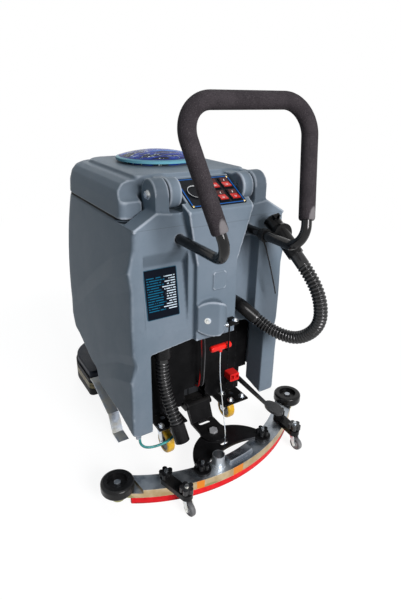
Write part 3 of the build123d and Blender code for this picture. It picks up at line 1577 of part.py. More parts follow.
# Towed casters: a fork whose stem goes up through the bracket to a height knob, and a small wheel
towed_top_z = casting_top_z - face_gap
towed_axle_y = towed_y - towed_trail
towed_half = towed_wheel_width / 2 + 1
for place, side in zip(towed_places, ("left", "right")):
    with BuildPart() as towed_fork:
        with BuildSketch(squeegee_plane.offset(towed_top_z)):
            with Locations(place):
                Rectangle(2 * (towed_half + towed_cheek), 2.6 * towed_stem_radius)
                Circle(2 * towed_stem_radius)
        extrude(amount=-towed_plate)
        for cheek in (-1, 1):
            with BuildSketch(upright(place[0] + cheek * towed_half)):
                with BuildLine():
                    Polyline(
                        (towed_y + 1.3 * towed_stem_radius, towed_top_z),
                        (towed_y - 1.3 * towed_stem_radius, towed_top_z),
                        (towed_axle_y - 2 * towed_axle_radius, towed_wheel_radius),
                        (towed_axle_y, towed_wheel_radius - 2 * towed_axle_radius),
                        (towed_axle_y + 2 * towed_axle_radius, towed_wheel_radius),
                        close=True,
                    )
                make_face()
            extrude(amount=cheek * towed_cheek)
        with BuildSketch(upright(place[0])):
            with Locations((towed_axle_y, towed_wheel_radius)):
                Circle(towed_axle_radius)
        extrude(amount=towed_half + towed_cheek + 2, both=True)
        with BuildSketch(squeegee_plane.offset(towed_top_z - towed_plate)):
            with Locations(place):
                Circle(towed_stem_radius)
        extrude(amount=towed_plate + 2 * face_gap + bracket_thick)
        with BuildSketch(squeegee_plane.offset(bracket_top_z + face_gap)):
            with Locations(place):
                Circle(knob_neck_radius)
        extrude(amount=knob_neck)
        with BuildSketch(squeegee_plane.offset(bracket_top_z + face_gap + knob_neck)):
            star_outline(place)
        extrude(amount=knob_height)
        with BuildSketch(squeegee_plane.offset(bracket_top_z + knob_rise)):
            with Locations(place):
                Circle(stud_radius)
        extrude(amount=stud_over)
    towed_fork.part.label = f"squeegee_caster_fork_{side}"
    export_step(towed_fork.part, f"parts/squeegee_caster_fork_{side}.step")
    with BuildPart() as towed_wheel:
        with BuildSketch(upright(place[0])):
            with Locations((towed_axle_y, towed_wheel_radius)):
                Circle(towed_wheel_radius)
        extrude(amount=towed_wheel_width / 2, both=True)
        fillet(towed_wheel.edges().filter_by(GeomType.CIRCLE), 0.2 * towed_wheel_width)
        with BuildSketch(upright(place[0])):
            with Locations((towed_axle_y, towed_wheel_radius)):
                Circle(towed_axle_radius + running_gap)
        extrude(amount=towed_wheel_width, both=True, mode=Mode.SUBTRACT)
    towed_wheel.part.label = f"squeegee_caster_wheel_{side}"
    export_step(towed_wheel.part, f"parts/squeegee_caster_wheel_{side}.step")

# Lift handle: a tilted grip bar with a short neck where the cable enters
tee_plane = Plane(
    origin=(tee_x, tee_y, tee_z),
    x_dir=(0, 1, 0),
    z_dir=(cos(radians(tee_tilt)), 0, -sin(radians(tee_tilt))),
)
cable_top_z = tee_z - tee_neck
with BuildPart() as lift_handle:
    with BuildSketch(tee_plane):
        Circle(tee_radius)
    extrude(amount=tee_length / 2, both=True)
    fillet(lift_handle.edges().filter_by(GeomType.CIRCLE), 0.5 * tee_radius)
    with BuildSketch(Plane.XY.offset(cable_top_z)):
        with Locations((tee_x, tee_y)):
            Circle(tee_neck_radius)
    extrude(amount=tee_neck)
lift_handle.part.label = "lift_handle"
export_step(lift_handle.part, "parts/lift_handle.step")

# Lift cable: from the handle's neck down through the yoke's slot to the ball that pulls on it
cable_foot = squeegee_plane.from_local_coords((0, cable_slot_y - cable_back, cable_ball_z))
cable_points = [
    (tee_x, tee_y, cable_top_z),
    (tee_x, tee_y, tee_z - 58),
    (tee_x + 3.0, tee_y, tee_z - 110),
    (tee_x + 7.0, tee_y - 5, tee_z - 164),
    (tee_x + 8.5, tee_y - 14, tee_z - 214),
    (tee_x + 6.0, tee_y - 29, tee_z - 258),
    (tee_x + 1.5, tee_y - 43.5, tee_z - 296),
    (cable_foot.X, cable_foot.Y, cable_ball_z),
]
cable_arcs = bent_radii(cable_points)
print("lift cable radii", [round(radius) for radius in cable_arcs])
with BuildPart() as lift_cable:
    with BuildLine() as cable_line:
        FilletPolyline(*cable_points, radius=cable_arcs)
    with BuildSketch(square_plane(cable_line.wire(), 0)):
        Circle(cable_radius)
    sweep(path=cable_line.wire())
    with Locations((cable_foot.X, cable_foot.Y, cable_ball_z)):
        Sphere(cable_ball)
lift_cable.part.label = "lift_cable"
export_step(lift_cable.part, "parts/lift_cable.step")

# Park hook: a block and barrel on the column, with a wire hook under the lift handle
hook_under_z = tee_z - (hook_x - tee_x) * tan(radians(tee_tilt)) - tee_radius / cos(radians(tee_tilt))
hook_low_z = hook_under_z - hook_wire - face_gap
hook_back_y = tee_y - tee_radius - hook_room - hook_wire
hook_tip_y = tee_y + tee_radius + hook_room
with BuildPart() as handle_hook:
    with BuildSketch(Plane.YZ.offset(hook_x - 4)):
        with Locations((barrel_y, barrel_z)):
            Circle(barrel_radius)
    extrude(amount=barrel_length)
    with BuildSketch(Plane.YZ.offset(hook_x + 14)):
        with Locations((barrel_y, barrel_z)):
            Rectangle(
                rear_y - column_proud - barrel_y, 2 * barrel_radius, align=(Align.MIN, Align.CENTER)
            )
    extrude(amount=barrel_length - 18)
    with BuildLine() as hook_line:
        FilletPolyline(
            (hook_x, hook_back_y, barrel_z),
            (hook_x, hook_back_y, hook_low_z),
            (hook_x, hook_tip_y, hook_low_z),
            (hook_x, hook_tip_y, hook_low_z + 4 * hook_wire),
            radius=[3 * hook_wire, 2 * hook_wire],
        )
    with BuildSketch(square_plane(hook_line.wire(), 0)):
        Circle(hook_wire)
    sweep(path=hook_line.wire())
handle_hook.part.label = "handle_hook"
export_step(handle_hook.part, "parts/handle_hook.step")

# Hose fittings: the drain elbow in its channel and the suction inlet under the tank
elbow_tip = (elbow_x + 32, rear_y - 20, elbow_z - 34)
elbow_turn = (elbow_x, rear_y + 8, elbow_z)
elbow_points = [(elbow_x, rear_y + channel_depth, elbow_z), elbow_turn, elbow_tip]
with BuildPart() as drain_elbow:
    with BuildLine() as elbow_line:
        FilletPolyline(*elbow_points, radius=bent_radii(elbow_points))
    with BuildSketch(square_plane(elbow_line.wire(), 0)):
        Circle(elbow_radius)
        Circle(drain_bore, mode=Mode.SUBTRACT)
    sweep(path=elbow_line.wire())
with BuildPart() as vacuum_inlet:
    with BuildSketch(Plane.XY.offset(inlet_low_z)):
        with Locations((inlet_x, inlet_y)):
            Circle(inlet_radius)
            Circle(vacuum_bore, mode=Mode.SUBTRACT)
    extrude(amount=tank_floor_z - inlet_low_z)
hose_fittings = Compound(children=[drain_elbow.part.solid(), vacuum_inlet.part.solid()])
hose_fittings.label = "hose_fittings"
export_step(hose_fittings, "parts/hose_fittings.step")


def hose_rings(length, plain, crest, valley, start_plain, end_plain, ribs):
    """Places and radii along a ribbed hose: a plain length at each end, four circles for each rib between."""
    pitch = (length - start_plain - end_plain) / ribs
    rings = [(0.0, plain), (start_plain, plain)]
    for number in range(ribs):
        foot = start_plain + number * pitch
        rings.append((foot + 0.10 * pitch, valley))
        rings.append((foot + 0.35 * pitch, crest))
        rings.append((foot + 0.65 * pitch, crest))
        rings.append((foot + 0.90 * pitch, valley))
    rings.append((length - end_plain, plain))
    rings.append((length, plain))
    return rings


def ribbed_walls(path, rings):
    """Outer walls of a ribbed hose, in three runs of flat bands so that no run turns by more than a right angle."""
    last = len(rings) - 1
    stops = [0, last // 3, 2 * last // 3, last]
    walls = []
    for first, end in zip(stops, stops[1:]):
        with BuildPart() as run:
            for place, radius in rings[first : end + 1]:
                with BuildSketch(square_plane(path, place)):
                    Circle(radius)
            loft(ruled=True)
        walls += [face for face in run.faces() if face.geom_type != GeomType.PLANE]
    return walls


def closed_hose(walls, core, path, plain, bore):
    """One closed solid from a hose's outer walls, the wall of its bore turned inward and a flat ring at each end."""
    walls = walls + [-face for face in core.faces() if face.geom_type != GeomType.PLANE]
    for place, turn in ((0, -1), (path.length, 1)):
        with BuildSketch(square_plane(path, place)) as ring:
            Circle(plain)
            Circle(bore, mode=Mode.SUBTRACT)
        walls.append(ring.sketch.face() if turn > 0 else -ring.sketch.face())
    return Solid(Shell(walls))


# Drain hose: from the elbow out to the right, down, and up to the clip on the handle
cuff_foot = (176.0, rear_y - 129.0, 662.0)
cuff_way = Vector(-16, 89, 73).normalized()
elbow_way = (Vector(*elbow_tip) - Vector(*elbow_turn)).normalized()
drain_points = [
    elbow_tip,
    tuple(Vector(*elbow_tip) + elbow_way * 40),
    (186.0, rear_y - 86, 398.0),
    (206.0, rear_y - 136, 402.0),
    (215.0, rear_y - 181, 437.0),
    (213.0, rear_y - 211, 486.0),
    (206.0, rear_y - 212, 540.0),
    (196.0, rear_y - 195, 590.0),
    tuple(Vector(*cuff_foot) - cuff_way * 41),
    cuff_foot,
]
drain_arcs = bent_radii(drain_points)
print("drain hose radii", [round(radius) for radius in drain_arcs])
with BuildLine() as drain_line:
    FilletPolyline(*drain_points, radius=drain_arcs)
drain_path = drain_line.wire()
drain_rings = hose_rings(
    drain_path.length,
    drain_plain,
    drain_radius,
    drain_valley,
    hose_plain_end,
    hose_plain_end,
    drain_ribs,
)
drain_walls = ribbed_walls(drain_path, drain_rings)
with BuildPart() as drain_core:
    with BuildSketch(square_plane(drain_path, 0)):
        Circle(drain_bore)
    sweep(path=drain_path)
drain_hose = closed_hose(drain_walls, drain_core.part, drain_path, drain_plain, drain_bore)
print("drain hose length", round(drain_path.length, 1))
drain_hose.label = "drain_hose"
export_step(drain_hose, "parts/drain_hose.step")

# Drain cuff: the smooth end of the hose, with ears for its flip cap
cuff_plane = Plane(origin=cuff_foot, x_dir=(-1, 0, cuff_way.X / cuff_way.Z), z_dir=cuff_way)
cap_hinge = cap_radius + cap_knuckle
with BuildPart() as drain_cuff:
    with BuildSketch(cuff_plane):
        Circle(cuff_radius)
        Circle(cuff_bore, mode=Mode.SUBTRACT)
    extrude(amount=cuff_length)
    with BuildSketch(cuff_plane):
        Circle(cuff_radius)
        Circle(drain_bore, mode=Mode.SUBTRACT)
    extrude(amount=cuff_radius - cuff_bore)
    for side in (-1, 1):
        ear_plane = Plane(
            origin=cuff_plane.from_local_coords((side * (cap_knuckle + face_gap), 0, cuff_length)),
            x_dir=cuff_plane.y_dir,
            z_dir=cuff_plane.x_dir,
        )
        with BuildSketch(ear_plane):
            with Locations((cap_hinge, 0)):
                Circle(cap_knuckle)
            with Locations((cuff_radius - 2, -2 * cap_knuckle)):
                Rectangle(cap_hinge - cuff_radius + 2 + cap_knuckle, 2 * cap_knuckle, align=(Align.MIN, Align.MIN))
        extrude(amount=side * cap_knuckle)
    pin_plane = Plane(
        origin=cuff_plane.from_local_coords((0, cap_hinge, cuff_length)),
        x_dir=cuff_plane.y_dir,
        z_dir=cuff_plane.x_dir,
    )
    with BuildSketch(pin_plane):
        Circle(cap_pin)
    extrude(amount=2 * cap_knuckle + face_gap, both=True)
drain_cuff.part.label = "drain_cuff"
export_step(drain_cuff.part, "parts/drain_cuff.step")

# Flip cap on the end of the drain cuff
with BuildPart() as drain_cap:
    with BuildSketch(cuff_plane.offset(cuff_length + face_gap)):
        Circle(cap_radius)
    extrude(amount=cap_thick)
    fillet(drain_cap.faces().sort_by(Axis(cuff_foot, tuple(cuff_way)))[-1].edges(), 0.4 * cap_thick)
    with BuildSketch(pin_plane):
        Circle(cap_knuckle)
        with Locations((0, 0)):
            Rectangle(
                cap_knuckle + 6, cap_knuckle + face_gap, align=(Align.MAX, Align.MIN)
            )
    extrude(amount=cap_knuckle, both=True)
    with BuildSketch(pin_plane):
        Circle(cap_pin + running_gap)
    extrude(amount=2 * cap_knuckle, both=True, mode=Mode.SUBTRACT)
    with BuildSketch(cuff_plane.offset(cuff_length + face_gap)):
        Circle(cuff_radius)
    extrude(amount=-cuff_length, mode=Mode.SUBTRACT)
drain_cap.part.label = "drain_cap"
export_step(drain_cap.part, "parts/drain_cap.step")

# Clip that holds the drain cuff to the handle's right tube
clip_y = rear_y - clip_back
clip_share = (clip_y - cuff_foot[1]) / cuff_way.Y
clip_mid = Vector(*cuff_foot) + cuff_way * clip_share
with BuildPart() as hose_clip:
    with BuildSketch(Plane.XZ.offset(-clip_y)):
        with Locations((handle_x, handle_z)):
            Circle(handle_tube_radius + clip_wall)
        with Locations((clip_mid.X, clip_mid.Z)):
            Circle(1.2 * cuff_radius + clip_wall)
        with Locations((handle_x, (handle_z + clip_mid.Z) / 2)):
            Rectangle(clip_mid.X - handle_x, 3 * clip_wall, align=(Align.MIN, Align.CENTER))
    extrude(amount=clip_thick / 2, both=True)
    with BuildSketch(Plane.XZ.offset(-clip_y)):
        with Locations((handle_x, handle_z)):
            Circle(handle_tube_radius + running_gap)
    extrude(amount=clip_thick, both=True, mode=Mode.SUBTRACT)
    with BuildSketch(cuff_plane):
        Circle(cuff_radius + running_gap)
    extrude(amount=2 * cuff_length, mode=Mode.SUBTRACT)
hose_clip.part.label = "hose_clip"
export_step(hose_clip.part, "parts/hose_clip.step")

# Vacuum hose: hangs from the inlet, with a smooth cuff over its free end
vacuum_points = [
    (inlet_x, inlet_y, inlet_low_z),
    (inlet_x, inlet_y, inlet_low_z - 44),
    (-146.0, rear_y + 27, 266.0),
    (-138.0, rear_y + 16, 214.0),
    (-129.0, rear_y + 0, 166.0),
    (-119.0, rear_y - 30, 95.0),
]
vacuum_arcs = bent_radii(vacuum_points)
print("vacuum hose radii", [round(radius) for radius in vacuum_arcs])
end_cuff_way = (Vector(*vacuum_points[-1]) - Vector(*vacuum_points[-2])).normalized()
with BuildLine() as vacuum_line:
    FilletPolyline(*vacuum_points, radius=vacuum_arcs)
vacuum_path = vacuum_line.wire()
vacuum_rings = hose_rings(
    vacuum_path.length,
    vacuum_plain,
    vacuum_radius,
    vacuum_valley,
    hose_plain_end,
    end_cuff_length,
    vacuum_ribs,
)
vacuum_walls = ribbed_walls(vacuum_path, vacuum_rings)
with BuildPart() as vacuum_core:
    with BuildSketch(square_plane(vacuum_path, 0)):
        Circle(vacuum_bore)
    sweep(path=vacuum_path)
vacuum_hose = closed_hose(vacuum_walls, vacuum_core.part, vacuum_path, vacuum_plain, vacuum_bore)
print("vacuum hose length", round(vacuum_path.length, 1))
vacuum_hose.label = "vacuum_hose"
export_step(vacuum_hose, "parts/vacuum_hose.step")

end_cuff_plane = Plane(
    origin=Vector(*vacuum_points[-1]) + end_cuff_way * end_cuff_lip, z_dir=end_cuff_way * -1
)
with BuildPart() as vacuum_hose_cuff:
    with BuildSketch(end_cuff_plane):
        Circle(end_cuff_radius)
    extrude(amount=end_cuff_length)
    with BuildSketch(end_cuff_plane):
        Circle(vacuum_plain + 2 * running_gap)
    extrude(amount=end_cuff_length, mode=Mode.SUBTRACT)
vacuum_hose_cuff.part.label = "vacuum_hose_cuff"
export_step(vacuum_hose_cuff.part, "parts/vacuum_hose_cuff.step")

# Water tube: a limp loop from the left leg's spigot to the socket block on the base plate
tube_points = [
    (tube_leg_x, tube_leg_y, tube_leg_z),
    (tube_leg_x, tube_leg_y, 96.0),
    (-229.0, rear_y + 12, 82.5),
    (-216.0, rear_y + 8, 74.5),
    (-196.0, rear_y + 5, 71.0),
    (-172.0, rear_y + 4, 70.0),
    (-152.0, rear_y + 5, 71.0),
    (-137.0, rear_y + 7, 74.0),
    (-127.0, rear_y + 10.0, 79.5),
    (-120.5, rear_y + 13.0, 87.5),
    (tube_base_x, tube_base_y, 97.0),
    (tube_base_x, tube_base_y, tube_base_z),
]
tube_arcs = bent_radii(tube_points)
print("water tube radii", [round(radius) for radius in tube_arcs])
with BuildPart() as water_tube:
    with BuildLine() as tube_line:
        FilletPolyline(*tube_points, radius=tube_arcs)
    with BuildSketch(Plane(origin=tube_points[0], x_dir=(1, 0, 0), z_dir=tube_line.wire() % 0)):
        Circle(tube_radius)
    sweep(path=tube_line.wire())
print("water tube length", round(tube_line.wire().length, 1))
water_tube.part.label = "water_tube"
export_step(water_tube.part, "parts/water_tube.step")

# Charge connector on the right rear post, and the leads that run down the back panel
connector_z = 182.0
connector_x = 134.0
connector_depth = 34.0
connector_body = (36.0, 28.0)
lead_radius = 2.2
lead_tops = [(-4.0, 64.0), (6.0, 68.0), (16.0, 66.0)]
lead_ends = [(8.0, 188.0), (3.0, 174.0), (18.0, 172.0)]
post_face_y = rear_y + post_rear + post_depth / 2
with BuildPart() as connector_shell:
    with BuildSketch(Plane.XZ.offset(-post_face_y)):
        with Locations((connector_x, connector_z)):
            RectangleRounded(*connector_body, 4)
    extrude(amount=connector_depth)
    with BuildSketch(Plane.XZ.offset(-post_face_y + connector_depth)):
        with Locations((connector_x, connector_z)):
            with GridLocations(connector_body[0] / 2, 0, 2, 1):
                Rectangle(connector_body[0] * 0.36, connector_body[1] * 0.5)
    extrude(amount=-connector_depth / 2, mode=Mode.SUBTRACT)
connector_solids = [connector_shell.part.solid()]
for (top_x, top_y), (end_x, end_z) in zip(lead_tops, lead_ends):
    lead_points = [
        (top_x, rear_y + top_y, recess_mid_z),
        (top_x, rear_y + top_y, recess_mid_z - 50),
        ((top_x + end_x) / 2 + 3, rear_y + top_y, recess_mid_z - 105),
        ((top_x + end_x) / 2 + 1, rear_y + top_y - 1, recess_mid_z - 160),
        (end_x, rear_y + top_y + 2, end_z + 30),
        (end_x, back_panel_y - 16, end_z),
        (end_x, back_panel_y, end_z),
    ]
    with BuildPart() as lead:
        with BuildLine() as lead_line:
            FilletPolyline(*lead_points, radius=bent_radii(lead_points))
        with BuildSketch(Plane(origin=lead_points[0], x_dir=(1, 0, 0), z_dir=lead_line.wire() % 0)):
            Circle(lead_radius)
        sweep(path=lead_line.wire())
    connector_solids.append(lead.part.solid())
charge_connector = Compound(children=connector_solids)
charge_connector.label = "charge_connector"
export_step(charge_connector, "parts/charge_connector.step")
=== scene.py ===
"""Floor scrubber dryer: the looks of the walk-behind machine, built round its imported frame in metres."""

import bmesh
import bpy
import numpy as np
from mathutils import Matrix, Vector


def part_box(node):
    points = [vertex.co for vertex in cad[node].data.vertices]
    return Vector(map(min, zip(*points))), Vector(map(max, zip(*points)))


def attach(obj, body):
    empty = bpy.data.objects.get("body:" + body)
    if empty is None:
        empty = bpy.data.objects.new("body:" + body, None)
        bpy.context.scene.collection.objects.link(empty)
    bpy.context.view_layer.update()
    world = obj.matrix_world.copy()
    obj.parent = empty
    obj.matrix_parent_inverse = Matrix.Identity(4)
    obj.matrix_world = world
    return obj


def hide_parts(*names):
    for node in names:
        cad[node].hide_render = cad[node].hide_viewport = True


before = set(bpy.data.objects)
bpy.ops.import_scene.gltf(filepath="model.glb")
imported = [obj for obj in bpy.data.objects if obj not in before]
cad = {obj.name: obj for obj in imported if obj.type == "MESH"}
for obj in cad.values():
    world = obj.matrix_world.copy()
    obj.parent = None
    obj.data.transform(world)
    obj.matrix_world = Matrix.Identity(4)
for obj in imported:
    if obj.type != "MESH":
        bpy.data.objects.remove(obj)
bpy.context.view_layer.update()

# Chassis: a welded steel frame that carries the tank, the batteries and the wheels.
# Powder coated satin black, with bright rubs on its edges and floor dust on its flats.
# The squeegee's lift arm and the hook for its handle have the same coat.


def put(tree, kind, sockets, **settings):
    """Adds one shader node with its settings; its sockets take values or other nodes' outputs."""
    node = tree.nodes.new("ShaderNode" + kind)
    for key, value in settings.items():
        setattr(node, key, value)
    for key, value in sockets.items():
        if isinstance(value, bpy.types.NodeSocket):
            tree.links.new(value, node.inputs[key])
        else:
            node.inputs[key].default_value = value
    return node


def reckon(tree, operation, first, second=0.0):
    """One sum on values that change over the surface."""
    return put(tree, "Math", {0: first, 1: second}, operation=operation).outputs[0]


def times(tree, first, second):
    """The product of two values."""
    return reckon(tree, "MULTIPLY", first, second)


def plus(tree, first, second):
    """The sum of two values."""
    return reckon(tree, "ADD", first, second)


def minus(tree, first, second):
    """The first value less the second."""
    return reckon(tree, "SUBTRACT", first, second)


def vectors(tree, operation, first, second=(0.0, 0.0, 0.0)):
    """One sum on vectors; a dot product, a length and a distance come out as a value."""
    node = put(tree, "VectorMath", {0: first, 1: second}, operation=operation)
    return node.outputs["Value" if operation in ("DOT_PRODUCT", "LENGTH", "DISTANCE") else "Vector"]


def between(tree, value, low, high, start=0.0, end=1.0):
    """The value run from start at low to end at high by a smooth cubic, held beyond both."""
    sockets = {0: value, 1: low, 2: high, 3: start, 4: end}
    return put(tree, "MapRange", sockets, interpolation_type="SMOOTHSTEP").outputs[0]


def vary(tree, noise_value, start, end, low=0.3, high=0.7):
    """A value that runs from start to end over the middle of a noise's range."""
    return between(tree, noise_value, low, high, start, end)


def mingle(tree, share, under, over, how="MIX"):
    """Two colours laid over each other by a share; a plain colour is red, green and blue."""
    under, over = (
        colour if isinstance(colour, bpy.types.NodeSocket) else (*colour, 1.0) for colour in (under, over)
    )
    return put(tree, "Mix", {0: share, 6: under, 7: over}, data_type="RGBA", blend_type=how).outputs[2]


def drift(tree, noise_value, dark, light, low=0.3, high=0.7):
    """A colour that runs from dark to light over the middle of a noise's range."""
    return mingle(tree, between(tree, noise_value, low, high), dark, light)


def laid_over(tree, tone, *layers):
    """A tone with colours laid over it in turn, each given as (share, colour)."""
    for share, colour in layers:
        tone = mingle(tree, share, tone, colour)
    return tone


def here(tree):
    """The place on the surface, in the machine's own metres."""
    return put(tree, "TexCoord", {}).outputs["Object"]


def axis_of(tree, axis, vector=None):
    """One axis of a vector, or of the place on the surface where none is given."""
    return put(tree, "SeparateXYZ", {0: here(tree) if vector is None else vector}).outputs[axis]


def noise(tree, place, scale, detail, **more):
    """Soft noise round 0.5 with so many spots in a metre and so many finer layers."""
    return put(tree, "TexNoise", {"Vector": place, "Scale": scale, "Detail": detail, **more}).outputs[0]


def new_group(name, inputs, outputs):
    """An empty shader group with named sockets: its tree, its inputs' sockets and its outputs' sockets."""
    tree = bpy.data.node_groups.new(name, "ShaderNodeTree")
    for label, kind, value in inputs:
        socket = tree.interface.new_socket(label, in_out="INPUT", socket_type="NodeSocket" + kind)
        socket.default_value = value
    for label in outputs:
        tree.interface.new_socket(label, in_out="OUTPUT", socket_type="NodeSocketFloat")
    return tree, tree.nodes.new("NodeGroupInput").outputs, tree.nodes.new("NodeGroupOutput").inputs


def new_finish(name, **plain):
    """A material with one Principled shader; plain gives the sockets that are the same all over."""
    finish = bpy.data.materials.new(name)
    finish.use_nodes = True
    shader = finish.node_tree.nodes["Principled BSDF"]
    for socket, value in plain.items():
        shader.inputs[socket.replace("_", " ")].default_value = value
    return finish, finish.node_tree, shader.inputs


def feed(tree, shader, **links):
    """Joins outputs to the shader's sockets."""
    for socket, value in links.items():
        tree.links.new(value, shader[socket.replace("_", " ")])


def raised(tree, height, strength, depth):
    """The normal of a surface that stands up by a height of 0 to 1 times depth in metres."""
    return put(tree, "Bump", {"Strength": strength, "Distance": depth, "Height": height}).outputs[0]


def dress(finish, *names):
    """Gives CAD nodes their finish."""
    for name in names:
        cad[name].data.materials.clear()
        cad[name].data.materials.append(finish)


def grain_group():
    """Fine is small noise for a skin, Broad is slow noise for its tone, Fleck is sparse bright dots."""
    tree, given, out = new_group(
        "skin_grain", [("Fine", "Float", 900.0), ("Broad", "Float", 8.0)], ["Fine", "Broad", "Fleck"]
    )
    place = here(tree)
    fine = noise(tree, place, given["Fine"], 3.0, Roughness=0.6)
    tree.links.new(fine, out["Fine"])
    tree.links.new(noise(tree, place, given["Broad"], 5.0, Roughness=0.62), out["Broad"])
    tree.links.new(between(tree, fine, 0.64, 0.74), out["Fleck"])
    return tree


def rub_group():
    """Rub is where a rounded normal leaves the real one, which is at edges, broken up by noise."""
    tree, given, out = new_group("edge_rub", [("Width", "Float", 0.0015), ("Amount", "Float", 1.0)], ["Rub"])
    rounded = put(tree, "Bevel", {"Radius": given["Width"]}, samples=4).outputs[0]
    real = put(tree, "NewGeometry", {}).outputs["Normal"]
    edge = between(tree, vectors(tree, "DOT_PRODUCT", rounded, real), 0.995, 0.93)
    broken = times(tree, edge, between(tree, noise(tree, here(tree), 140.0, 4.0), 0.42, 0.6))
    tree.links.new(times(tree, broken, given["Amount"]), out["Rub"])
    return tree


def dust_group():
    """Dust lies where the surface faces up, thicker in slow noise, thinner in fine noise."""
    tree, given, out = new_group("settled_dust", [("Amount", "Float", 0.3)], ["Dust"])
    up = axis_of(tree, "Z", put(tree, "NewGeometry", {}).outputs["Normal"])
    place = here(tree)
    slow = between(tree, noise(tree, place, 14.0, 6.0), 0.35, 0.7)
    quick = between(tree, noise(tree, place, 420.0, 2.0), 0.3, 0.62)
    lie = times(tree, times(tree, between(tree, up, 0.35, 1.0), slow), quick)
    tree.links.new(times(tree, lie, given["Amount"]), out["Dust"])
    return tree


skin_grain, edge_rub, settled_dust = grain_group(), rub_group(), dust_group()


def grained(tree, fine, broad):
    """The grain effect's Fine, Broad and Fleck at two scales."""
    return put(tree, "Group", {"Fine": fine, "Broad": broad}, node_tree=skin_grain).outputs


def rubbed(tree, width, amount):
    """The rub effect's mask for edges of a width in metres."""
    return put(tree, "Group", {"Width": width, "Amount": amount}, node_tree=edge_rub).outputs["Rub"]


def dusted(tree, amount):
    """The dust effect's mask."""
    return put(tree, "Group", {"Amount": amount}, node_tree=settled_dust).outputs["Dust"]


def coated(
    name, colour, rough, rub=0.5, dust=0.3, bare=(0.32, 0.32, 0.33), fine=700.0, lift=0.12, shine=0.06
):
    """Paint or plastic: noise in tone and gloss, orange peel in the normal, rubbed edges and dust."""
    finish, tree, shader = new_finish(name, Specular_IOR_Level=shine)
    grain, film = grained(tree, fine, 11.0), dusted(tree, dust)
    dark, light = 0.72 * np.array(colour), np.minimum(1.0, 1.35 * np.array(colour) + 0.004)
    tone = laid_over(
        tree, drift(tree, grain["Broad"], dark, light, 0.3, 0.72),
        (rubbed(tree, 0.0016, rub), bare), (film, (0.30, 0.28, 0.25)),
    )
    gloss = plus(tree, vary(tree, grain["Broad"], rough - 0.06, rough + 0.08, 0.3, 0.75), film)
    feed(tree, shader, Base_Color=tone, Roughness=gloss, Normal=raised(tree, grain["Fine"], lift, 0.0006))
    return finish


black_coat = coated("black_powder_coat", (0.004, 0.004, 0.0045), 0.34, rub=0.22, dust=0.05)
dress(black_coat, "chassis_frame", "lift_arm", "handle_hook")

# Batteries: two sealed blocks in dark polypropylene cases, with paler lids welded on and lead posts.
# They stand side by side on the base plate, behind the rear panel.


def apart(tree, first, second):
    """How far two values are from each other: the size of their difference."""
    return reckon(tree, "ABSOLUTE", minus(tree, first, second))


case_seam, post_foot = 0.281, 0.3153
case_finish, tree, shader = new_finish("battery_case")
grain = grained(tree, 1200.0, 9.0)
height = axis_of(tree, "Z")
post = between(tree, height, post_foot, post_foot + 0.0003)
seam = between(tree, apart(tree, height, case_seam), 0.0006, 0.0018)
lid_share = between(tree, height, case_seam - 0.0005, case_seam + 0.0005)
tone = mingle(tree, lid_share, (0.022, 0.024, 0.027), (0.055, 0.058, 0.062))
feed(
    tree, shader, Base_Color=mingle(tree, post, tone, (0.28, 0.28, 0.29)), Metallic=post,
    Roughness=vary(tree, grain["Broad"], 0.36, 0.52),
    Normal=raised(tree, plus(tree, times(tree, grain["Fine"], 0.25), seam), 0.4, 0.0012),
)
dress(case_finish, "batteries")

# Motors: the suction motor under the tank floor and the two gear motors on the deck.
# Cast end bells and a finned drum, sprayed dark grey.
fin_pitch = 0.0085
motor_finish, tree, shader = new_finish("motor_paint")
grain = grained(tree, 800.0, 16.0)
fins = reckon(tree, "SINE", times(tree, axis_of(tree, "Z"), 2 * np.pi / fin_pitch))
# The valleys between the fins, which are only bumps, are painted darker: a painted shade.
tone = laid_over(
    tree, drift(tree, grain["Broad"], (0.035, 0.036, 0.039), (0.065, 0.067, 0.07)),
    (between(tree, fins, -0.4, -0.9), (0.016, 0.016, 0.017)), (dusted(tree, 0.35), (0.26, 0.24, 0.22)),
)
feed(
    tree, shader, Base_Color=tone, Roughness=vary(tree, grain["Fine"], 0.42, 0.6),
    Normal=raised(tree, plus(tree, fins, times(tree, grain["Fine"], 0.3)), 0.7, 0.0022),
)
dress(motor_finish, "vacuum_motor", "brush_motors")

# Axle, hinge bolts and side strap: plain steel with bright zinc, slightly blue from its passivation.
# The strap is bent from flat bar, is duller, and carries mill streaks along its length.


def plated(name, colour, rough, rub=0.35, streak=(18.0, 260.0, 260.0)):
    """Zinc plate: cloudy blue and straw tones, fine drawn streaks and dulled patches."""
    finish, tree, shader = new_finish(name, Metallic=1.0)
    place = here(tree)
    drawn = put(tree, "Mapping", {"Vector": place, "Scale": streak}).outputs[0]
    lines = noise(tree, drawn, 1.0, 4.0, Roughness=0.7)
    cloud = noise(tree, place, 34.0, 5.0)
    cool, warm = np.multiply(colour, (0.80, 0.88, 1.0)), np.multiply(colour, (1.0, 0.98, 0.90))
    tone = drift(tree, cloud, cool, warm, 0.34, 0.66)
    feed(
        tree, shader, Base_Color=mingle(tree, rubbed(tree, 0.0012, rub), tone, (0.86, 0.86, 0.87)),
        Roughness=plus(tree, vary(tree, cloud, rough - 0.05, rough + 0.1), vary(tree, lines, -0.06, 0.08)),
        Normal=raised(tree, lines, 0.10, 0.0004),
    )
    return finish


zinc = plated("bright_zinc", (0.70, 0.71, 0.72), 0.30)
strap_zinc = plated("strap_zinc", (0.40, 0.41, 0.42), 0.56, streak=(260.0, 14.0, 260.0))
dress(zinc, "wheel_axle", "hinge_bolts")
dress(strap_zinc, "side_strap")

# Main wheels: grey moulded hubs with a bonded rubber tread, one at each end of the axle.
# The tread has shallow cross grooves and picks up pale dust from the floor.


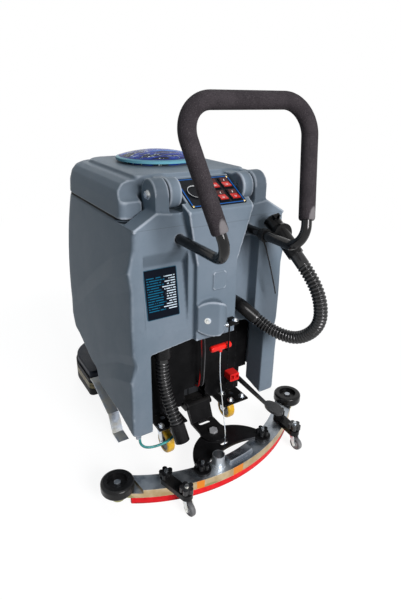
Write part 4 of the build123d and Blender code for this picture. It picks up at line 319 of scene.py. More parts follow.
def grid_faces(rows, columns):
    """Quads between neighbouring rows of a grid of rings, whose last column joins their first."""
    row, column = np.meshgrid(np.arange(rows - 1), np.arange(columns), indexing="ij")
    here_row, next_row, after = row * columns, (row + 1) * columns, (column + 1) % columns
    corners = [here_row + column, here_row + after, next_row + after, next_row + column]
    return np.stack(corners, -1).reshape(-1, 4)


def stand(name, data):
    """A new object in the scene that shows some data."""
    thing = bpy.data.objects.new(name, data)
    bpy.context.scene.collection.objects.link(thing)
    return thing


def make_piece(name, parts, finish, body, angle=None):
    """One mesh from (points, faces) parts: joined, doubles merged, normals outward, riding on a body."""
    points = np.concatenate([part[0].reshape(-1, 3) for part in parts])
    starts = np.cumsum([0] + [part[0].size // 3 for part in parts[:-1]])
    faces = np.concatenate([part[1] + start for part, start in zip(parts, starts)])
    mesh = bpy.data.meshes.new(name)
    mesh.from_pydata(points.tolist(), [], faces.tolist())
    shell = bmesh.new()
    shell.from_mesh(mesh)
    bmesh.ops.remove_doubles(shell, verts=shell.verts, dist=1e-6)
    bmesh.ops.dissolve_degenerate(shell, edges=shell.edges, dist=1e-7)
    bmesh.ops.recalc_face_normals(shell, faces=shell.faces)
    shell.to_mesh(mesh)
    shell.free()
    mesh.materials.append(finish)
    mesh.shade_smooth()
    if angle is not None:
        mesh.set_sharp_from_angle(angle=np.radians(angle))
    piece = stand(name, mesh)
    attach(piece, body)
    return piece


def square_frame(axis):
    """Two unit vectors square to an axis and to each other, as rows, with the unit axis third."""
    axis = np.asarray(axis, float) / np.linalg.norm(axis)
    first = np.cross(axis, (0.0, 0.0, 1.0) if abs(axis[2]) < 0.9 else (1.0, 0.0, 0.0))
    first /= np.linalg.norm(first)
    return np.array([first, np.cross(axis, first), axis])


def turned(profile, centre, axis, columns=64, wave=None):
    """A lathe form: profile rows are (radius, height), and wave(angle, profile) may scale the radius."""
    profile = np.asarray(profile, float)
    angle = np.linspace(0, 2 * np.pi, columns, endpoint=False)
    swell = np.ones((len(profile), columns)) if wave is None else wave(angle[None, :], profile)
    radius = profile[:, :1] * swell
    height = np.broadcast_to(profile[:, 1:], radius.shape)
    local = np.stack([radius * np.cos(angle), radius * np.sin(angle), height], -1)
    return local @ square_frame(axis) + np.asarray(centre), grid_faces(len(profile), columns)


def rounded_profile(corners, fillet, steps=5):
    """A profile whose corners become quadratic arcs that start a fillet's length from each corner."""
    corners = np.asarray(corners, float)
    rows = [corners[:1]]
    for before, corner, after in zip(corners[:-2], corners[1:-1], corners[2:]):
        back, on = before - corner, after - corner
        reach = min(fillet, 0.45 * np.linalg.norm(back), 0.45 * np.linalg.norm(on))
        start, end = corner + back / np.linalg.norm(back) * reach, corner + on / np.linalg.norm(on) * reach
        share = np.linspace(0, 1, steps)[:, None]
        rows.append((1 - share) ** 2 * start + 2 * share * (1 - share) * corner + share ** 2 * end)
    return np.concatenate(rows + [corners[-1:]])


def wheel_section(half, fillet):
    """A wheel's closed profile: the half above its middle plane and that half's mirror image, rounded."""
    mirrored = [(radius, -height) for radius, height in half[-2::-1]]
    return rounded_profile([*half, *mirrored, half[0]], fillet)


def polar_group():
    """Radius is a point's distance from an axis through Centre, Along its distance down that axis."""
    tree, given, out = new_group(
        "round_place",
        [("Centre", "Vector", (0.0, 0.0, 0.0)), ("Axis", "Vector", (0.0, 0.0, 1.0))],
        ["Radius", "Along"],
    )
    arm = vectors(tree, "SUBTRACT", here(tree), given["Centre"])
    along = vectors(tree, "DOT_PRODUCT", arm, given["Axis"])
    run = put(tree, "VectorMath", {0: given["Axis"], "Scale": along}, operation="SCALE").outputs[0]
    tree.links.new(vectors(tree, "LENGTH", vectors(tree, "SUBTRACT", arm, run)), out["Radius"])
    tree.links.new(along, out["Along"])
    return tree


round_place = polar_group()


def round_about(tree, centre, axis=(0.0, 0.0, 1.0)):
    """The round place's Radius and Along for one axis, upright where none is given."""
    return put(tree, "Group", {"Centre": tuple(centre), "Axis": axis}, node_tree=round_place).outputs


def rolling_finish(name, tread, hub, centre, axis, split, rough=0.6):
    """A wheel's finish: hub colour inside the split radius, tread colour outside, dust and fine grain."""
    finish, tree, shader = new_finish(name)
    spot, grain = round_about(tree, centre, axis), grained(tree, 900.0, 30.0)
    tone = mingle(tree, between(tree, spot["Radius"], split - 0.0003, split + 0.0003), hub, tread)
    shade = vary(tree, grain["Broad"], 0.72, 1.2)
    shades = put(tree, "CombineColor", {0: shade, 1: shade, 2: shade}).outputs[0]
    tone = mingle(tree, 1.0, tone, shades, "MULTIPLY")
    dusty = times(tree, between(tree, grain["Broad"], 0.52, 0.74), 0.35)
    groove = between(tree, apart(tree, spot["Radius"], split), 0.0002, 0.0012)
    feed(
        tree, shader, Base_Color=mingle(tree, dusty, tone, (0.30, 0.29, 0.27)),
        Roughness=vary(tree, grain["Fine"], rough - 0.12, rough + 0.12, 0.25, 0.75),
        Normal=raised(tree, plus(tree, groove, times(tree, grain["Fine"], 0.25)), 0.5, 0.0012),
    )
    return finish


def roll_wheel(name, node, section, centre, axis, columns, finish, wave=None):
    """A turned wheel in place of a CAD wheel, riding on the body of that node's name."""
    wheel = make_piece(name, [turned(section, centre, axis, columns, wave)], finish, node, angle=40)
    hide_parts(node)


groove_count, groove_share, groove_foot = 30, 0.016, 0.093


def tread_wave(angle, profile):
    """1 less a share of the cross grooves: the crests of a cosine of so many turns, near the rolling face."""
    groove = np.clip((np.cos(groove_count * angle) - 0.72) / 0.2, 0, 1)
    return 1 - groove_share * groove * (profile[:, :1] > groove_foot)


rear_wall = -0.23166
sides = ((-1, "left"), (1, "right"))
axle_way = (1.0, 0.0, 0.0)
wheel_aside, axle_depth, wheel_radius, wheel_hub = 0.150, 0.250, 0.100, 0.0745
main_section = wheel_section(
    [(0.0101, 0.025), (0.027, 0.025), (0.0285, 0.011), (0.068, 0.011), (0.074, 0.0225), (0.088, 0.025),
     (0.0985, 0.021), (0.1, 0.0)], 0.004
)
for side, word in sides:
    hub_place = (side * wheel_aside, rear_wall + axle_depth, wheel_radius)
    rubber = rolling_finish(
        "main_wheel_rubber_" + word, (0.022, 0.022, 0.023), (0.11, 0.115, 0.12), hub_place, axle_way,
        wheel_hub,
    )
    roll_wheel(
        "tyred_wheel_" + word, "main_wheel_" + word, main_section, hub_place, axle_way, 360, rubber,
        tread_wave,
    )

# Rear casters: pressed zinc forks that swivel under the base plate, left pointing different ways.
# Each holds a wheel with a yellow polyurethane tyre cast on a dark hub.
caster_aside, caster_depth, caster_trail, caster_radius, caster_hub = 0.132, 0.070, 0.024, 0.0375, 0.0268
dress(zinc, "caster_fork_left", "caster_fork_right")
caster_section = wheel_section(
    [(0.0051, 0.013), (0.011, 0.013), (0.012, 0.0095), (0.0255, 0.0095), (0.027, 0.0125), (0.033, 0.0135),
     (0.0372, 0.0095), (0.0375, 0.0)], 0.0025
)
for side, word in sides:
    hub_place = (side * caster_aside, rear_wall + caster_depth + side * caster_trail, caster_radius)
    yellow = rolling_finish(
        "yellow_polyurethane_" + word, (0.80, 0.46, 0.02), (0.045, 0.045, 0.05), hub_place, axle_way,
        caster_hub, rough=0.38,
    )
    roll_wheel(
        "yellow_caster_" + word, "caster_wheel_" + word, caster_section, hub_place, axle_way, 72, yellow,
    )

# Solution tank: the rotomoulded polyethylene body, hollow, with two rear legs, a column and a console.
# Its skin is grained by the mould, its edges are soft, and shallow waves are moulded into both sides.


def settle(piece):
    """Applies a piece's modifiers to its mesh."""
    bpy.context.view_layer.update()
    mesh = bpy.data.meshes.new_from_object(piece.evaluated_get(bpy.context.evaluated_depsgraph_get()))
    piece.modifiers.clear()
    piece.data = mesh


def relax(piece, rounds):
    """Adds a modifier that moves each point half way to the middle of its neighbours, in some rounds."""
    smoother = piece.modifiers.new("relax", "SMOOTH")
    smoother.factor, smoother.iterations = 0.5, rounds


def merged_shell(node):
    """A CAD node's mesh as one shell, its loose triangles joined at their corners."""
    shell = bmesh.new()
    shell.from_mesh(cad[node].data)
    bmesh.ops.remove_doubles(shell, verts=shell.verts, dist=1e-5)
    return shell


def mould_copy(node, voxel, rounds):
    """A CAD node as an even skin: merged, remeshed in small cubes and relaxed, which softens its edges."""
    shell, mesh = merged_shell(node), cad[node].data.copy()
    shell.to_mesh(mesh)
    shell.free()
    copy = stand(node + "_skin", mesh)
    even = copy.modifiers.new("even", "REMESH")
    even.mode, even.voxel_size = "VOXEL", voxel
    relax(copy, rounds)
    settle(copy)
    return copy


def thin_out(piece, most):
    """Collapses edges evenly until the piece has at most that many triangles."""
    triangles = sum(len(face.vertices) - 2 for face in piece.data.polygons)
    if triangles > most:
        thinner = piece.modifiers.new("thin", "DECIMATE")
        thinner.ratio = most / triangles
        settle(piece)


def smooth_step(low, high, value):
    """0 below low, 1 above high and a cubic between."""
    share = np.clip((value - low) / (high - low), 0, 1)
    return share * share * (3 - 2 * share)


def read_points(mesh):
    """A mesh's points and normals as arrays."""
    points, normals = np.empty(3 * len(mesh.vertices)), np.empty(3 * len(mesh.vertices))
    mesh.vertices.foreach_get("co", points)
    mesh.vertices.foreach_get("normal", normals)
    return points.reshape(-1, 3), normals.reshape(-1, 3)


def keep_value(piece, name, value):
    """Keeps one number for each point as the mesh's own attribute, which its finish reads."""
    kept = piece.data.attributes.new(name, "FLOAT", "POINT")
    kept.data.foreach_set("value", value.astype(np.float32))


def kept_value(tree, name):
    """A mesh's own attribute, in its finish."""
    return put(tree, "Attribute", {}, attribute_name=name).outputs["Fac"]


def keep_crest(piece, width=0.006, rounds=3):
    """Keeps how a skin bends as crest: 0.5 where it is flat, towards 1 on ridges and 0 in hollows.

    The bend is a point's height over the mean of its neighbours, times twice the width of a sharp edge,
    divided by the neighbours' mean squared distance. It is then evened out with the neighbours' in rounds.
    """
    mesh = piece.data
    points, normals = read_points(mesh)
    ends = np.empty(2 * len(mesh.edges), int)
    mesh.edges.foreach_get("vertices", ends)
    first, second = ends.reshape(-1, 2).T
    count = np.bincount(ends, minlength=len(points))

    def mean_of(at_first, at_second):
        """The mean, over each point's edges, of what its edges give to their first and second ends."""
        total = np.bincount(first, at_first, len(points)) + np.bincount(second, at_second, len(points))
        return total / count

    middle = np.stack([mean_of(points[second, axis], points[first, axis]) for axis in range(3)], -1)
    length = np.linalg.norm(points[first] - points[second], axis=1) ** 2
    height = np.sum((points - middle) * normals, axis=1)
    bend = 2 * width * height / np.maximum(mean_of(length, length), 1e-12)
    for _ in range(rounds):
        bend = 0.5 * bend + 0.5 * mean_of(bend[second], bend[first])
    keep_value(piece, "crest", np.clip(0.5 + 0.5 * bend, 0, 1))


def dress_skin(piece, finish):
    """Gives a moulded skin its finish, shaded smooth, and keeps its ridges and hollows, which the finish
    paints as highlight and shade.
    """
    keep_crest(piece)
    piece.data.materials.clear()
    piece.data.materials.append(finish)
    piece.data.shade_smooth()


parting_height = 0.7465
body_grey, tree, shader = new_finish("rotomoulded_grey", Specular_IOR_Level=0.10)
grain, close = grained(tree, 520.0, 5.0), grained(tree, 1500.0, 60.0)
crest = kept_value(tree, "crest")
parting = between(tree, apart(tree, axis_of(tree, "Z"), parting_height), 0.0004, 0.0016)
tone = laid_over(
    tree, drift(tree, grain["Broad"], (0.138, 0.180, 0.222), (0.172, 0.212, 0.256)),
    (times(tree, close["Fleck"], 0.34), (0.27, 0.31, 0.36)),
    (times(tree, between(tree, close["Broad"], 0.5, 0.8), 0.20), (0.105, 0.135, 0.175)),
    (rubbed(tree, 0.004, 0.30), (0.31, 0.345, 0.39)),
    (dusted(tree, 0.10), (0.36, 0.36, 0.35)),
    # Painted light: pale ridges from the kept crest are a painted highlight, and its dark hollows are a
    # painted shade.
    (between(tree, crest, 0.545, 0.78, 0.0, 0.68), (0.44, 0.49, 0.55)),
    (between(tree, crest, 0.44, 0.16, 0.0, 0.42), (0.055, 0.075, 0.095)),
    (between(tree, parting, 0.9, 0.0, 0.0, 0.35), (0.09, 0.11, 0.125)),
)
texture = plus(tree, times(tree, grain["Fine"], 0.5), times(tree, close["Fine"], 0.35))
feed(
    tree, shader, Base_Color=tone, Roughness=vary(tree, grain["Fine"], 0.40, 0.56),
    Normal=raised(tree, plus(tree, texture, parting), 0.28, 0.0010),
)

# The sides' waves at the rear wall: heights in millimetres, and how far each stands out in steps of 1.9 mm.
wave_heights = [100, 285, 318, 345, 368, 400, 480, 590, 618, 640, 668, 700, 2000]
wave_steps = [3.0, 4.0, 5.0, 1.0, -2.0, 1.5, 3.2, 3.4, 5.6, 7.6, 4.2, 0.4, 0.0]
wave_step, wave_top = 0.0019, 0.75
belt_height, belt_width, belt_depth = 0.478, 0.016, 0.004
tank = mould_copy("solution_tank", voxel=0.0028, rounds=2)
points, normals = read_points(tank.data)
depth = points[:, 1] - rear_wall
outward = normals[:, 0] * np.sign(points[:, 0])
facing = smooth_step(0.25, 0.75, outward) * smooth_step(0.19, 0.215, np.abs(points[:, 0]))
# Towards the front the waves fall, ever more steeply, and fade.
fall = 0.42 * np.clip(depth - 0.01, 0, None) + 0.35 * np.clip(depth - 0.12, 0, None) ** 1.4
wave = np.interp(1000 * (points[:, 2] + fall), wave_heights, wave_steps)
fade = 1 - 0.75 * smooth_step(0.10, 0.50, depth)
below_top = smooth_step(wave_top, wave_top - 0.05, points[:, 2])
points[:, 0] += np.sign(points[:, 0]) * wave_step * wave * facing * fade * below_top
# A shallow belt is sunk across the front wall.
belt = np.exp(-((points[:, 2] - belt_height) / belt_width) ** 2)
points[:, 1] -= belt_depth * (belt * smooth_step(0.35, 0.8, normals[:, 1]) * (depth > 0.5))
tank.data.vertices.foreach_set("co", points.ravel())
tank.data.update()
relax(tank, rounds=2)
settle(tank)
thin_out(tank, most=190000)
dress_skin(tank, body_grey)
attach(tank, "body")
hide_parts("solution_tank")

# Raised pad on the column: a blank rounded rectangle that the mould leaves proud of the skin.
# It is of one piece with the body, with a rolled edge and a slightly dished face.
pad_middle, pad_columns = np.array([0.004, rear_wall - 0.0250, 0.586]), 96
pad_half, pad_corner = np.array([0.021, 0.026]), 0.008
pad_steps = [(0.0, -0.006), (0.0, -0.0012), (0.0003, -0.0006), (0.0009, -0.0002), (0.0018, 0.0),
             (0.0028, -0.0003), (0.0042, -0.0007), (0.0060, -0.0008)]
pad_turn = np.linspace(0, 2 * np.pi, pad_columns, endpoint=False)
pad_way = np.stack([np.cos(pad_turn), np.sin(pad_turn)], -1)
pad_rings = []
for inset, lift in pad_steps:
    flat = np.sign(pad_way) * (pad_half - pad_corner) + pad_way * (pad_corner - inset)
    pad_rings.append(pad_middle + np.stack([flat[:, 0], np.full(pad_columns, -lift), flat[:, 1]], -1))
pad_rings.append(np.broadcast_to(pad_middle + (0, -pad_steps[-1][1], 0), (pad_columns, 3)))
pad_faces = grid_faces(len(pad_rings), pad_columns)
pad = make_piece("column_pad", [(np.array(pad_rings), pad_faces)], body_grey, "body")
# The pad keeps its crest too, for the grey finish's painted highlight and painted shade.
keep_crest(pad, width=0.004, rounds=1)

# Recovery tank and its float standpipe: a grey tub that hangs in the body, with a black float cage in it.
# The tub keeps no crest, so the grey finish gives it the painted shade of a hollow all over, which is darker.
# The cage is injection moulded in the same black plastic as the hose fittings, cuffs and brackets.
black_plastic = coated("black_moulding", (0.005, 0.005, 0.0055), 0.28, rub=0.25, dust=0.06, fine=1300.0,
                       bare=(0.10, 0.10, 0.105), shine=0.14)
dress(body_grey, "recovery_tank")
dress(black_plastic, "float_standpipe", "hose_fittings", "hose_clip", "drain_cuff", "drain_cap",
      "caster_brackets", "vacuum_hose_cuff")

# Recovery lid: moulded with the body's grey, with a raised plateau, two hinge fingers and a round neck.
# It swings on the hinge bolts and closes on a soft black rubber seal.
lid = mould_copy("recovery_lid", voxel=0.0031, rounds=4)
thin_out(lid, most=170000)
dress_skin(lid, body_grey)
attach(lid, "lid")
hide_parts("recovery_lid")
seal_rubber = coated("seal_rubber", (0.007, 0.007, 0.007), 0.62, rub=0.1, dust=0.2, fine=1600.0)
dress(seal_rubber, "lid_seal")

# Inspection cover: a clear moulded dome that lifts out of the neck, still in its crinkled blue film.
# Its pale rim is thicker than the dome and shows as a bright ring.
cover_middle = (0.0, rear_wall + 0.335, 0.0)
rim_inside, gap_inside, edge_blur = 0.1165, 0.1085, 0.002
film_turn, film_stretch = (0.0, 0.0, 0.45), (9.0, 24.0, 1.0)
cover_finish, tree, shader = new_finish("blue_film_dome", Specular_IOR_Level=0.03)
radius = round_about(tree, cover_middle)["Radius"]
drawn = put(tree, "Mapping", {"Vector": here(tree), "Rotation": film_turn, "Scale": film_stretch}).outputs[0]
fold = noise(tree, drawn, 1.0, 3.0, Distortion=1.1)
glint = noise(tree, drawn, 3.4, 2.0, Distortion=1.8)
rim = between(tree, radius, rim_inside, rim_inside + edge_blur)
gap = times(tree, between(tree, radius, gap_inside, gap_inside + edge_blur), minus(tree, 1.0, rim))
# The film is painted darker in the hollows of its folds, a painted shade, and paler blue on their crests, a
# painted light. The white glints are painted highlights.
tone = laid_over(
    tree, drift(tree, fold, (0.002, 0.004, 0.014), (0.004, 0.045, 0.42), 0.40, 0.54),
    (between(tree, fold, 0.57, 0.68), (0.02, 0.24, 0.72)),
    (between(tree, glint, 0.63, 0.67), (0.80, 0.93, 0.98)),
    (rim, (0.16, 0.42, 0.52)), (gap, (0.01, 0.03, 0.22)),
)
feed(
    tree, shader, Base_Color=tone, Roughness=vary(tree, fold, 0.10, 0.28),
    Normal=raised(tree, fold, 0.4, 0.006),
)
dress(cover_finish, "inspection_cover")

# Control panel: a printed black plate on the sloped console, with a blue line round its edge and a dial.
# It is screwed down at its corners, and the switches stand in it.
slope = np.arctan2(0.067, 0.121)
panel_y, panel_z, panel_half_x, panel_half_y = rear_wall + 0.0275, 0.8185, 0.084, 0.056
dial_middle, dial_inside, dial_outside = (-0.046, 0.0, 0.0), 0.0225, 0.0245
border_start, border_end, print_blur = 0.0030, 0.0062, 0.0004


def on_panel(across, along, off=0.0):
    """A place on the sloped panel, by steps from its middle: across it, up its slope and off its face."""
    return (across, panel_y + along * np.cos(slope) - off * np.sin(slope),
            panel_z + along * np.sin(slope) + off * np.cos(slope))


def panel_plane(tree, centre):
    """The place as the panel lies: X across it, Y up its slope and Z off its face, from a centre."""
    sockets = {"Vector": here(tree), "Location": centre, "Rotation": (slope, 0.0, 0.0)}
    return put(tree, "Mapping", sockets, vector_type="TEXTURE").outputs[0]


def band(tree, value, low, high, soft):
    """1 where a value lies between low and high, falling to 0 at both over a soft width inside them."""
    return times(tree, between(tree, value, low, low + soft), between(tree, value, high, high - soft))


panel_finish, tree, shader = new_finish("printed_panel", Specular_IOR_Level=0.06)
flat = panel_plane(tree, on_panel(0.0, 0.0))
edge_x = minus(tree, panel_half_x, reckon(tree, "ABSOLUTE", axis_of(tree, "X", flat)))
edge_y = minus(tree, panel_half_y, reckon(tree, "ABSOLUTE", axis_of(tree, "Y", flat)))
border = band(tree, reckon(tree, "MINIMUM", edge_x, edge_y), border_start, border_end, print_blur)
ring = band(tree, vectors(tree, "DISTANCE", flat, dial_middle), dial_inside, dial_outside, print_blur)
grain = grained(tree, 1700.0, 20.0)
tone = laid_over(
    tree, drift(tree, grain["Broad"], (0.004, 0.005, 0.007), (0.009, 0.010, 0.013)),
    (border, (0.010, 0.11, 0.40)), (ring, (0.55, 0.57, 0.58)),
)
feed(
    tree, shader, Base_Color=tone, Roughness=vary(tree, grain["Fine"], 0.26, 0.40),
    Normal=raised(tree, plus(tree, grain["Fine"], border), 0.12, 0.0005),
)
dress(panel_finish, "control_panel")

# Rocker switches: glossy red caps that tip in their frames, in two rows of two.
# Each has a plain white bar on one end and a plain white ring on the other.
switch_places = ((0.020, -0.024), (0.020, 0.024), (0.058, -0.024), (0.058, 0.024))
mark_step, mark_blur = 0.009, 0.0003
bar_half_wide, bar_half_long, loop_inside, loop_outside = 0.0010, 0.0032, 0.0018, 0.0033
for number, place in enumerate(switch_places, 1):
    red, tree, shader = new_finish(f"red_rocker_{number}", Specular_IOR_Level=0.30)
    flat = panel_plane(tree, on_panel(*place))
    across, along = (axis_of(tree, axis, flat) for axis in "XY")
    from_middle, from_mark = reckon(tree, "ABSOLUTE", across), apart(tree, along, mark_step)
    bar = times(tree, between(tree, from_middle, bar_half_wide, bar_half_wide - mark_blur),
                between(tree, from_mark, bar_half_long, bar_half_long - mark_blur))
    face = put(tree, "CombineXYZ", {0: across, 1: along}).outputs[0]
    from_loop = vectors(tree, "DISTANCE", face, (0.0, -mark_step, 0.0))
    loop = band(tree, from_loop, loop_inside, loop_outside, mark_blur)
    grain = grained(tree, 900.0, 40.0)
    # The far half of each cap is painted nearly black: a painted dark reflection.
    tone = laid_over(
        tree, drift(tree, grain["Broad"], (0.48, 0.012, 0.010), (0.66, 0.025, 0.016)),
        (between(tree, along, 0.0005, 0.0035, 0.0, 0.93), (0.010, 0.004, 0.004)),
        (plus(tree, bar, loop), (0.82, 0.80, 0.78)),
    )
    feed(tree, shader, Base_Color=tone, Roughness=vary(tree, grain["Fine"], 0.18, 0.3))
    dress(red, f"rocker_switch_{number}")

# Data plate: a dark printed film stuck in the sloped pocket, left as blank ruled rows.
# Each row is a dim bar at the left and a pale one at the right, broken in places.


def share_of(tree, value, low, high):
    """Where a value lies between low and high, as 0 to 1."""
    return put(tree, "MapRange", {0: value, 1: low, 2: high, 3: 0.0, 4: 1.0}).outputs[0]


row_count, column_count = 20.0, 34.0
low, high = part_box("data_plate")
plate_finish, tree, shader = new_finish("ruled_plate", Specular_IOR_Level=0.04)
column = share_of(tree, axis_of(tree, "X"), low.x, high.x)
row = share_of(tree, axis_of(tree, "Z"), low.z, high.z)
rows = times(tree, row, row_count)
number = reckon(tree, "FLOOR", rows)
ragged = put(tree, "TexWhiteNoise", {"W": number}, noise_dimensions="1D").outputs[0]
cell_sockets = {0: reckon(tree, "FLOOR", times(tree, column, column_count)), 1: number}
cell = put(tree, "CombineXYZ", cell_sockets).outputs[0]
broken = put(tree, "TexWhiteNoise", {"Vector": cell}, noise_dimensions="2D").outputs[0]
bar = band(tree, reckon(tree, "FRACT", rows), 0.32, 0.74, 0.04)
bar = times(tree, bar, between(tree, broken, 0.10, 0.16))
bars = times(tree, bar, band(tree, row, 0.14, 0.86, 0.005))
start = plus(tree, 0.50, times(tree, ragged, 0.22))
pale = times(tree, between(tree, minus(tree, column, start), 0.0, 0.006),
             between(tree, column, 0.93, 0.925))
dim_end = minus(tree, start, 0.10)
dim = times(tree, between(tree, column, 0.07, 0.075),
            between(tree, minus(tree, column, dim_end), 0.006, 0.0))
from_side = reckon(tree, "MINIMUM", column, minus(tree, 1.0, column))
from_end = reckon(tree, "MINIMUM", row, minus(tree, 1.0, row))
edge = reckon(tree, "MINIMUM", from_side, times(tree, from_end, 1.5))
tone = laid_over(
    tree, mingle(tree, times(tree, bars, dim), (0.0030, 0.005, 0.010), (0.006, 0.110, 0.200)),
    (times(tree, bars, pale), (0.55, 0.66, 0.74)), (between(tree, edge, 0.022, 0.014), (0.035, 0.10, 0.15)),
)
grain = grained(tree, 1500.0, 25.0)
feed(
    tree, shader, Base_Color=tone, Roughness=vary(tree, grain["Broad"], 0.30, 0.44),
    Normal=raised(tree, grain["Fine"], 0.06, 0.0004),
)
dress(plate_finish, "data_plate")

# Handle: one steel tube bent to a loop and let into the body at both sides.
# It is powder coated gloss black.
tube_coat = coated("gloss_tube_coat", (0.005, 0.005, 0.0055), 0.16, rub=0.0, dust=0.05, lift=0.05, shine=0.30)
dress(tube_coat, "handle_tube")

# Foam grip: a closed-cell sleeve pushed over the handle's loop, which swells a little between its ends.
# Near both ends a paler patch is painted on its skin, on the operator's side.


def even_path(line, spacing):
    """The same line with points an even distance apart."""
    run = np.concatenate([[0], np.cumsum(np.linalg.norm(np.diff(line, axis=0), axis=1))])
    stations = np.linspace(0, run[-1], int(round(run[-1] / spacing)) + 1)
    return np.stack([np.interp(stations, run, line[:, axis]) for axis in range(3)], -1)


def arc_path(corners, radii, spacing=0.004):
    """A path of straight runs whose corners are circular arcs of the given radii, at an even spacing."""
    corners = np.asarray(corners, float)
    rows = [corners[:1]]
    for before, corner, after, radius in zip(corners[:-2], corners[1:-1], corners[2:], radii):
        back = (before - corner) / np.linalg.norm(before - corner)
        on = (after - corner) / np.linalg.norm(after - corner)
        half = np.arccos(np.clip(back @ on, -1, 1)) / 2
        middle = corner + (back + on) / np.linalg.norm(back + on) * radius / np.sin(half)
        start, end = corner + back * radius / np.tan(half), corner + on * radius / np.tan(half)
        share = np.linspace(0, 1, 24)[:, None]
        sweep = np.pi - 2 * half
        first, last = start - middle, end - middle
        arc = np.sin((1 - share) * sweep) * first + np.sin(share * sweep) * last
        rows.append(middle + arc / np.sin(sweep))
    return even_path(np.concatenate(rows + [corners[-1:]]), spacing)


def carried(path, guide, radius, columns=32, twist=0.0):
    """A tube: circles square to a path, their radius given by row or by row and angle, turned by a twist.

    Their angles start square to the path and to the guide.
    """
    way = np.gradient(path, axis=0)
    way /= np.linalg.norm(way, axis=1, keepdims=True)
    first = np.cross(way, np.asarray(guide, float))
    first /= np.linalg.norm(first, axis=1, keepdims=True)
    second = np.cross(way, first)
    angle = np.linspace(0, 2 * np.pi, columns, endpoint=False)
    by_row = radius if np.ndim(radius) == 2 else np.reshape(radius, (-1, 1))
    radius = np.broadcast_to(by_row, (len(path), columns))
    turn = angle[None, :] + np.reshape(twist, (-1, 1))
    points = path[:, None] + radius[..., None] * (
        np.cos(turn)[..., None] * first[:, None] + np.sin(turn)[..., None] * second[:, None]
    )
    return points, grid_faces(len(path), columns)


loop_low, loop_high = np.array([0.108, rear_wall - 0.230, 0.712]), np.array([0.184, rear_wall - 0.116, 1.042])
grip_foot, loop_bend, grip_columns = 0.781, 0.068, 48
foam_outside, foam_swell, foam_drop = 0.0197, 0.0003, 0.0022
grip_end = loop_low + (grip_foot - loop_low[2]) / (loop_high[2] - loop_low[2]) * (loop_high - loop_low)
flip = np.array([-1, 1, 1])
grip_line = arc_path([flip * grip_end, flip * loop_high, loop_high, grip_end], [loop_bend, loop_bend])
run = np.linspace(0, 1, len(grip_line))
end_taper = 1 - smooth_step(0.0, 0.006, np.minimum(run, 1 - run))
foam_radius = foam_outside + foam_swell * np.sin(np.pi * run) - foam_drop * end_taper
plane = np.cross(loop_high - loop_low, (1.0, 0.0, 0.0))
foam, tree, shader = new_finish("closed_cell_foam", Specular_IOR_Level=0.10)
place = here(tree)
cells = put(tree, "TexVoronoi", {"Vector": place, "Scale": 1150.0}).outputs[0]
pores, cloud = noise(tree, place, 560.0, 3.0), noise(tree, place, 26.0, 5.0)
tone = laid_over(
    tree, drift(tree, cloud, (0.027, 0.023, 0.026), (0.042, 0.036, 0.040)),
    (between(tree, pores, 0.56, 0.72), (0.080, 0.070, 0.076)),
    (between(tree, pores, 0.44, 0.30), (0.012, 0.010, 0.012)),
    (kept_value(tree, "pale_patch"), (0.17, 0.16, 0.165)),
)
feed(
    tree, shader, Base_Color=tone, Roughness=between(tree, cells, 0.1, 0.7, 0.92, 0.74),
    Normal=raised(tree, plus(tree, cells, pores), 0.5, 0.0010),
)
end_profile = [(0.0175, 0.0), (0.0170, 0.0003), (0.0150, 0.0003), (0.0129, 0.0), (0.0129, -0.010)]
grip_ends = []
for end, inner in ((grip_line[0], grip_line[1]), (grip_line[-1], grip_line[-2])):
    grip_ends.append((end, (end - inner) / np.linalg.norm(end - inner)))
end_faces = [turned(end_profile, end, way_out, grip_columns) for end, way_out in grip_ends]
foam_tube = carried(grip_line, plane, foam_radius, grip_columns)
grip = make_piece("foam_grip", [foam_tube, *end_faces], foam, "body")
points = read_points(grip.data)[0]
# A paler patch is painted near both ends, on the operator's side.
patch_way, patch_length, patch_angle = np.array([0.14, -0.99, 0.0]), 0.034, 0.75
pale_patch = np.zeros(len(points))
for end, way_out in grip_ends:
    along = (points - end) @ -way_out
    off = points - end + along[:, None] * way_out
    aside = np.linalg.norm(off, axis=1)
    angle = np.arccos(np.clip(off @ patch_way / np.maximum(aside, 1e-9), -1, 1))
    reach = (along / patch_length) ** 2 + (angle / patch_angle) ** 2
    pale_patch = np.maximum(pale_patch, smooth_step(1.05, 0.8, reach) * (along > -0.001) * (aside < 0.03))
keep_value(grip, "pale_patch", pale_patch)
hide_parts("handle_grip")

# Drain hose: black ribbed hose of soft plastic that hangs in a loop behind the machine.
# It is pushed on the elbow in the rear wall, and its far end is held at a cuff on the handle.


def route_line(name, controls, spacing):
    """Evenly spaced points on the smooth NURBS line of order 3 that a cord's control points give."""
    curve = bpy.data.curves.new(name, "CURVE")
    curve.dimensions = "3D"
    spline = curve.splines.new("NURBS")
    spline.points.add(len(controls) - 1)
    spline.points.foreach_set("co", np.c_[controls, np.ones(len(controls))].ravel())
    spline.order_u = 3
    spline.use_endpoint_u = True
    spline.resolution_u = 24
    holder = stand(name, curve)
    bpy.context.view_layer.update()
    mesh = bpy.data.meshes.new_from_object(holder)
    line = np.empty(3 * len(mesh.vertices))
    mesh.vertices.foreach_get("co", line)
    bpy.data.meshes.remove(mesh)
    bpy.data.objects.remove(holder)
    bpy.data.curves.remove(curve)
    return even_path(line.reshape(-1, 3), spacing)


def path_length(line):
    """The length along a line of points."""
    return float(np.linalg.norm(np.diff(line, axis=0), axis=1).sum())


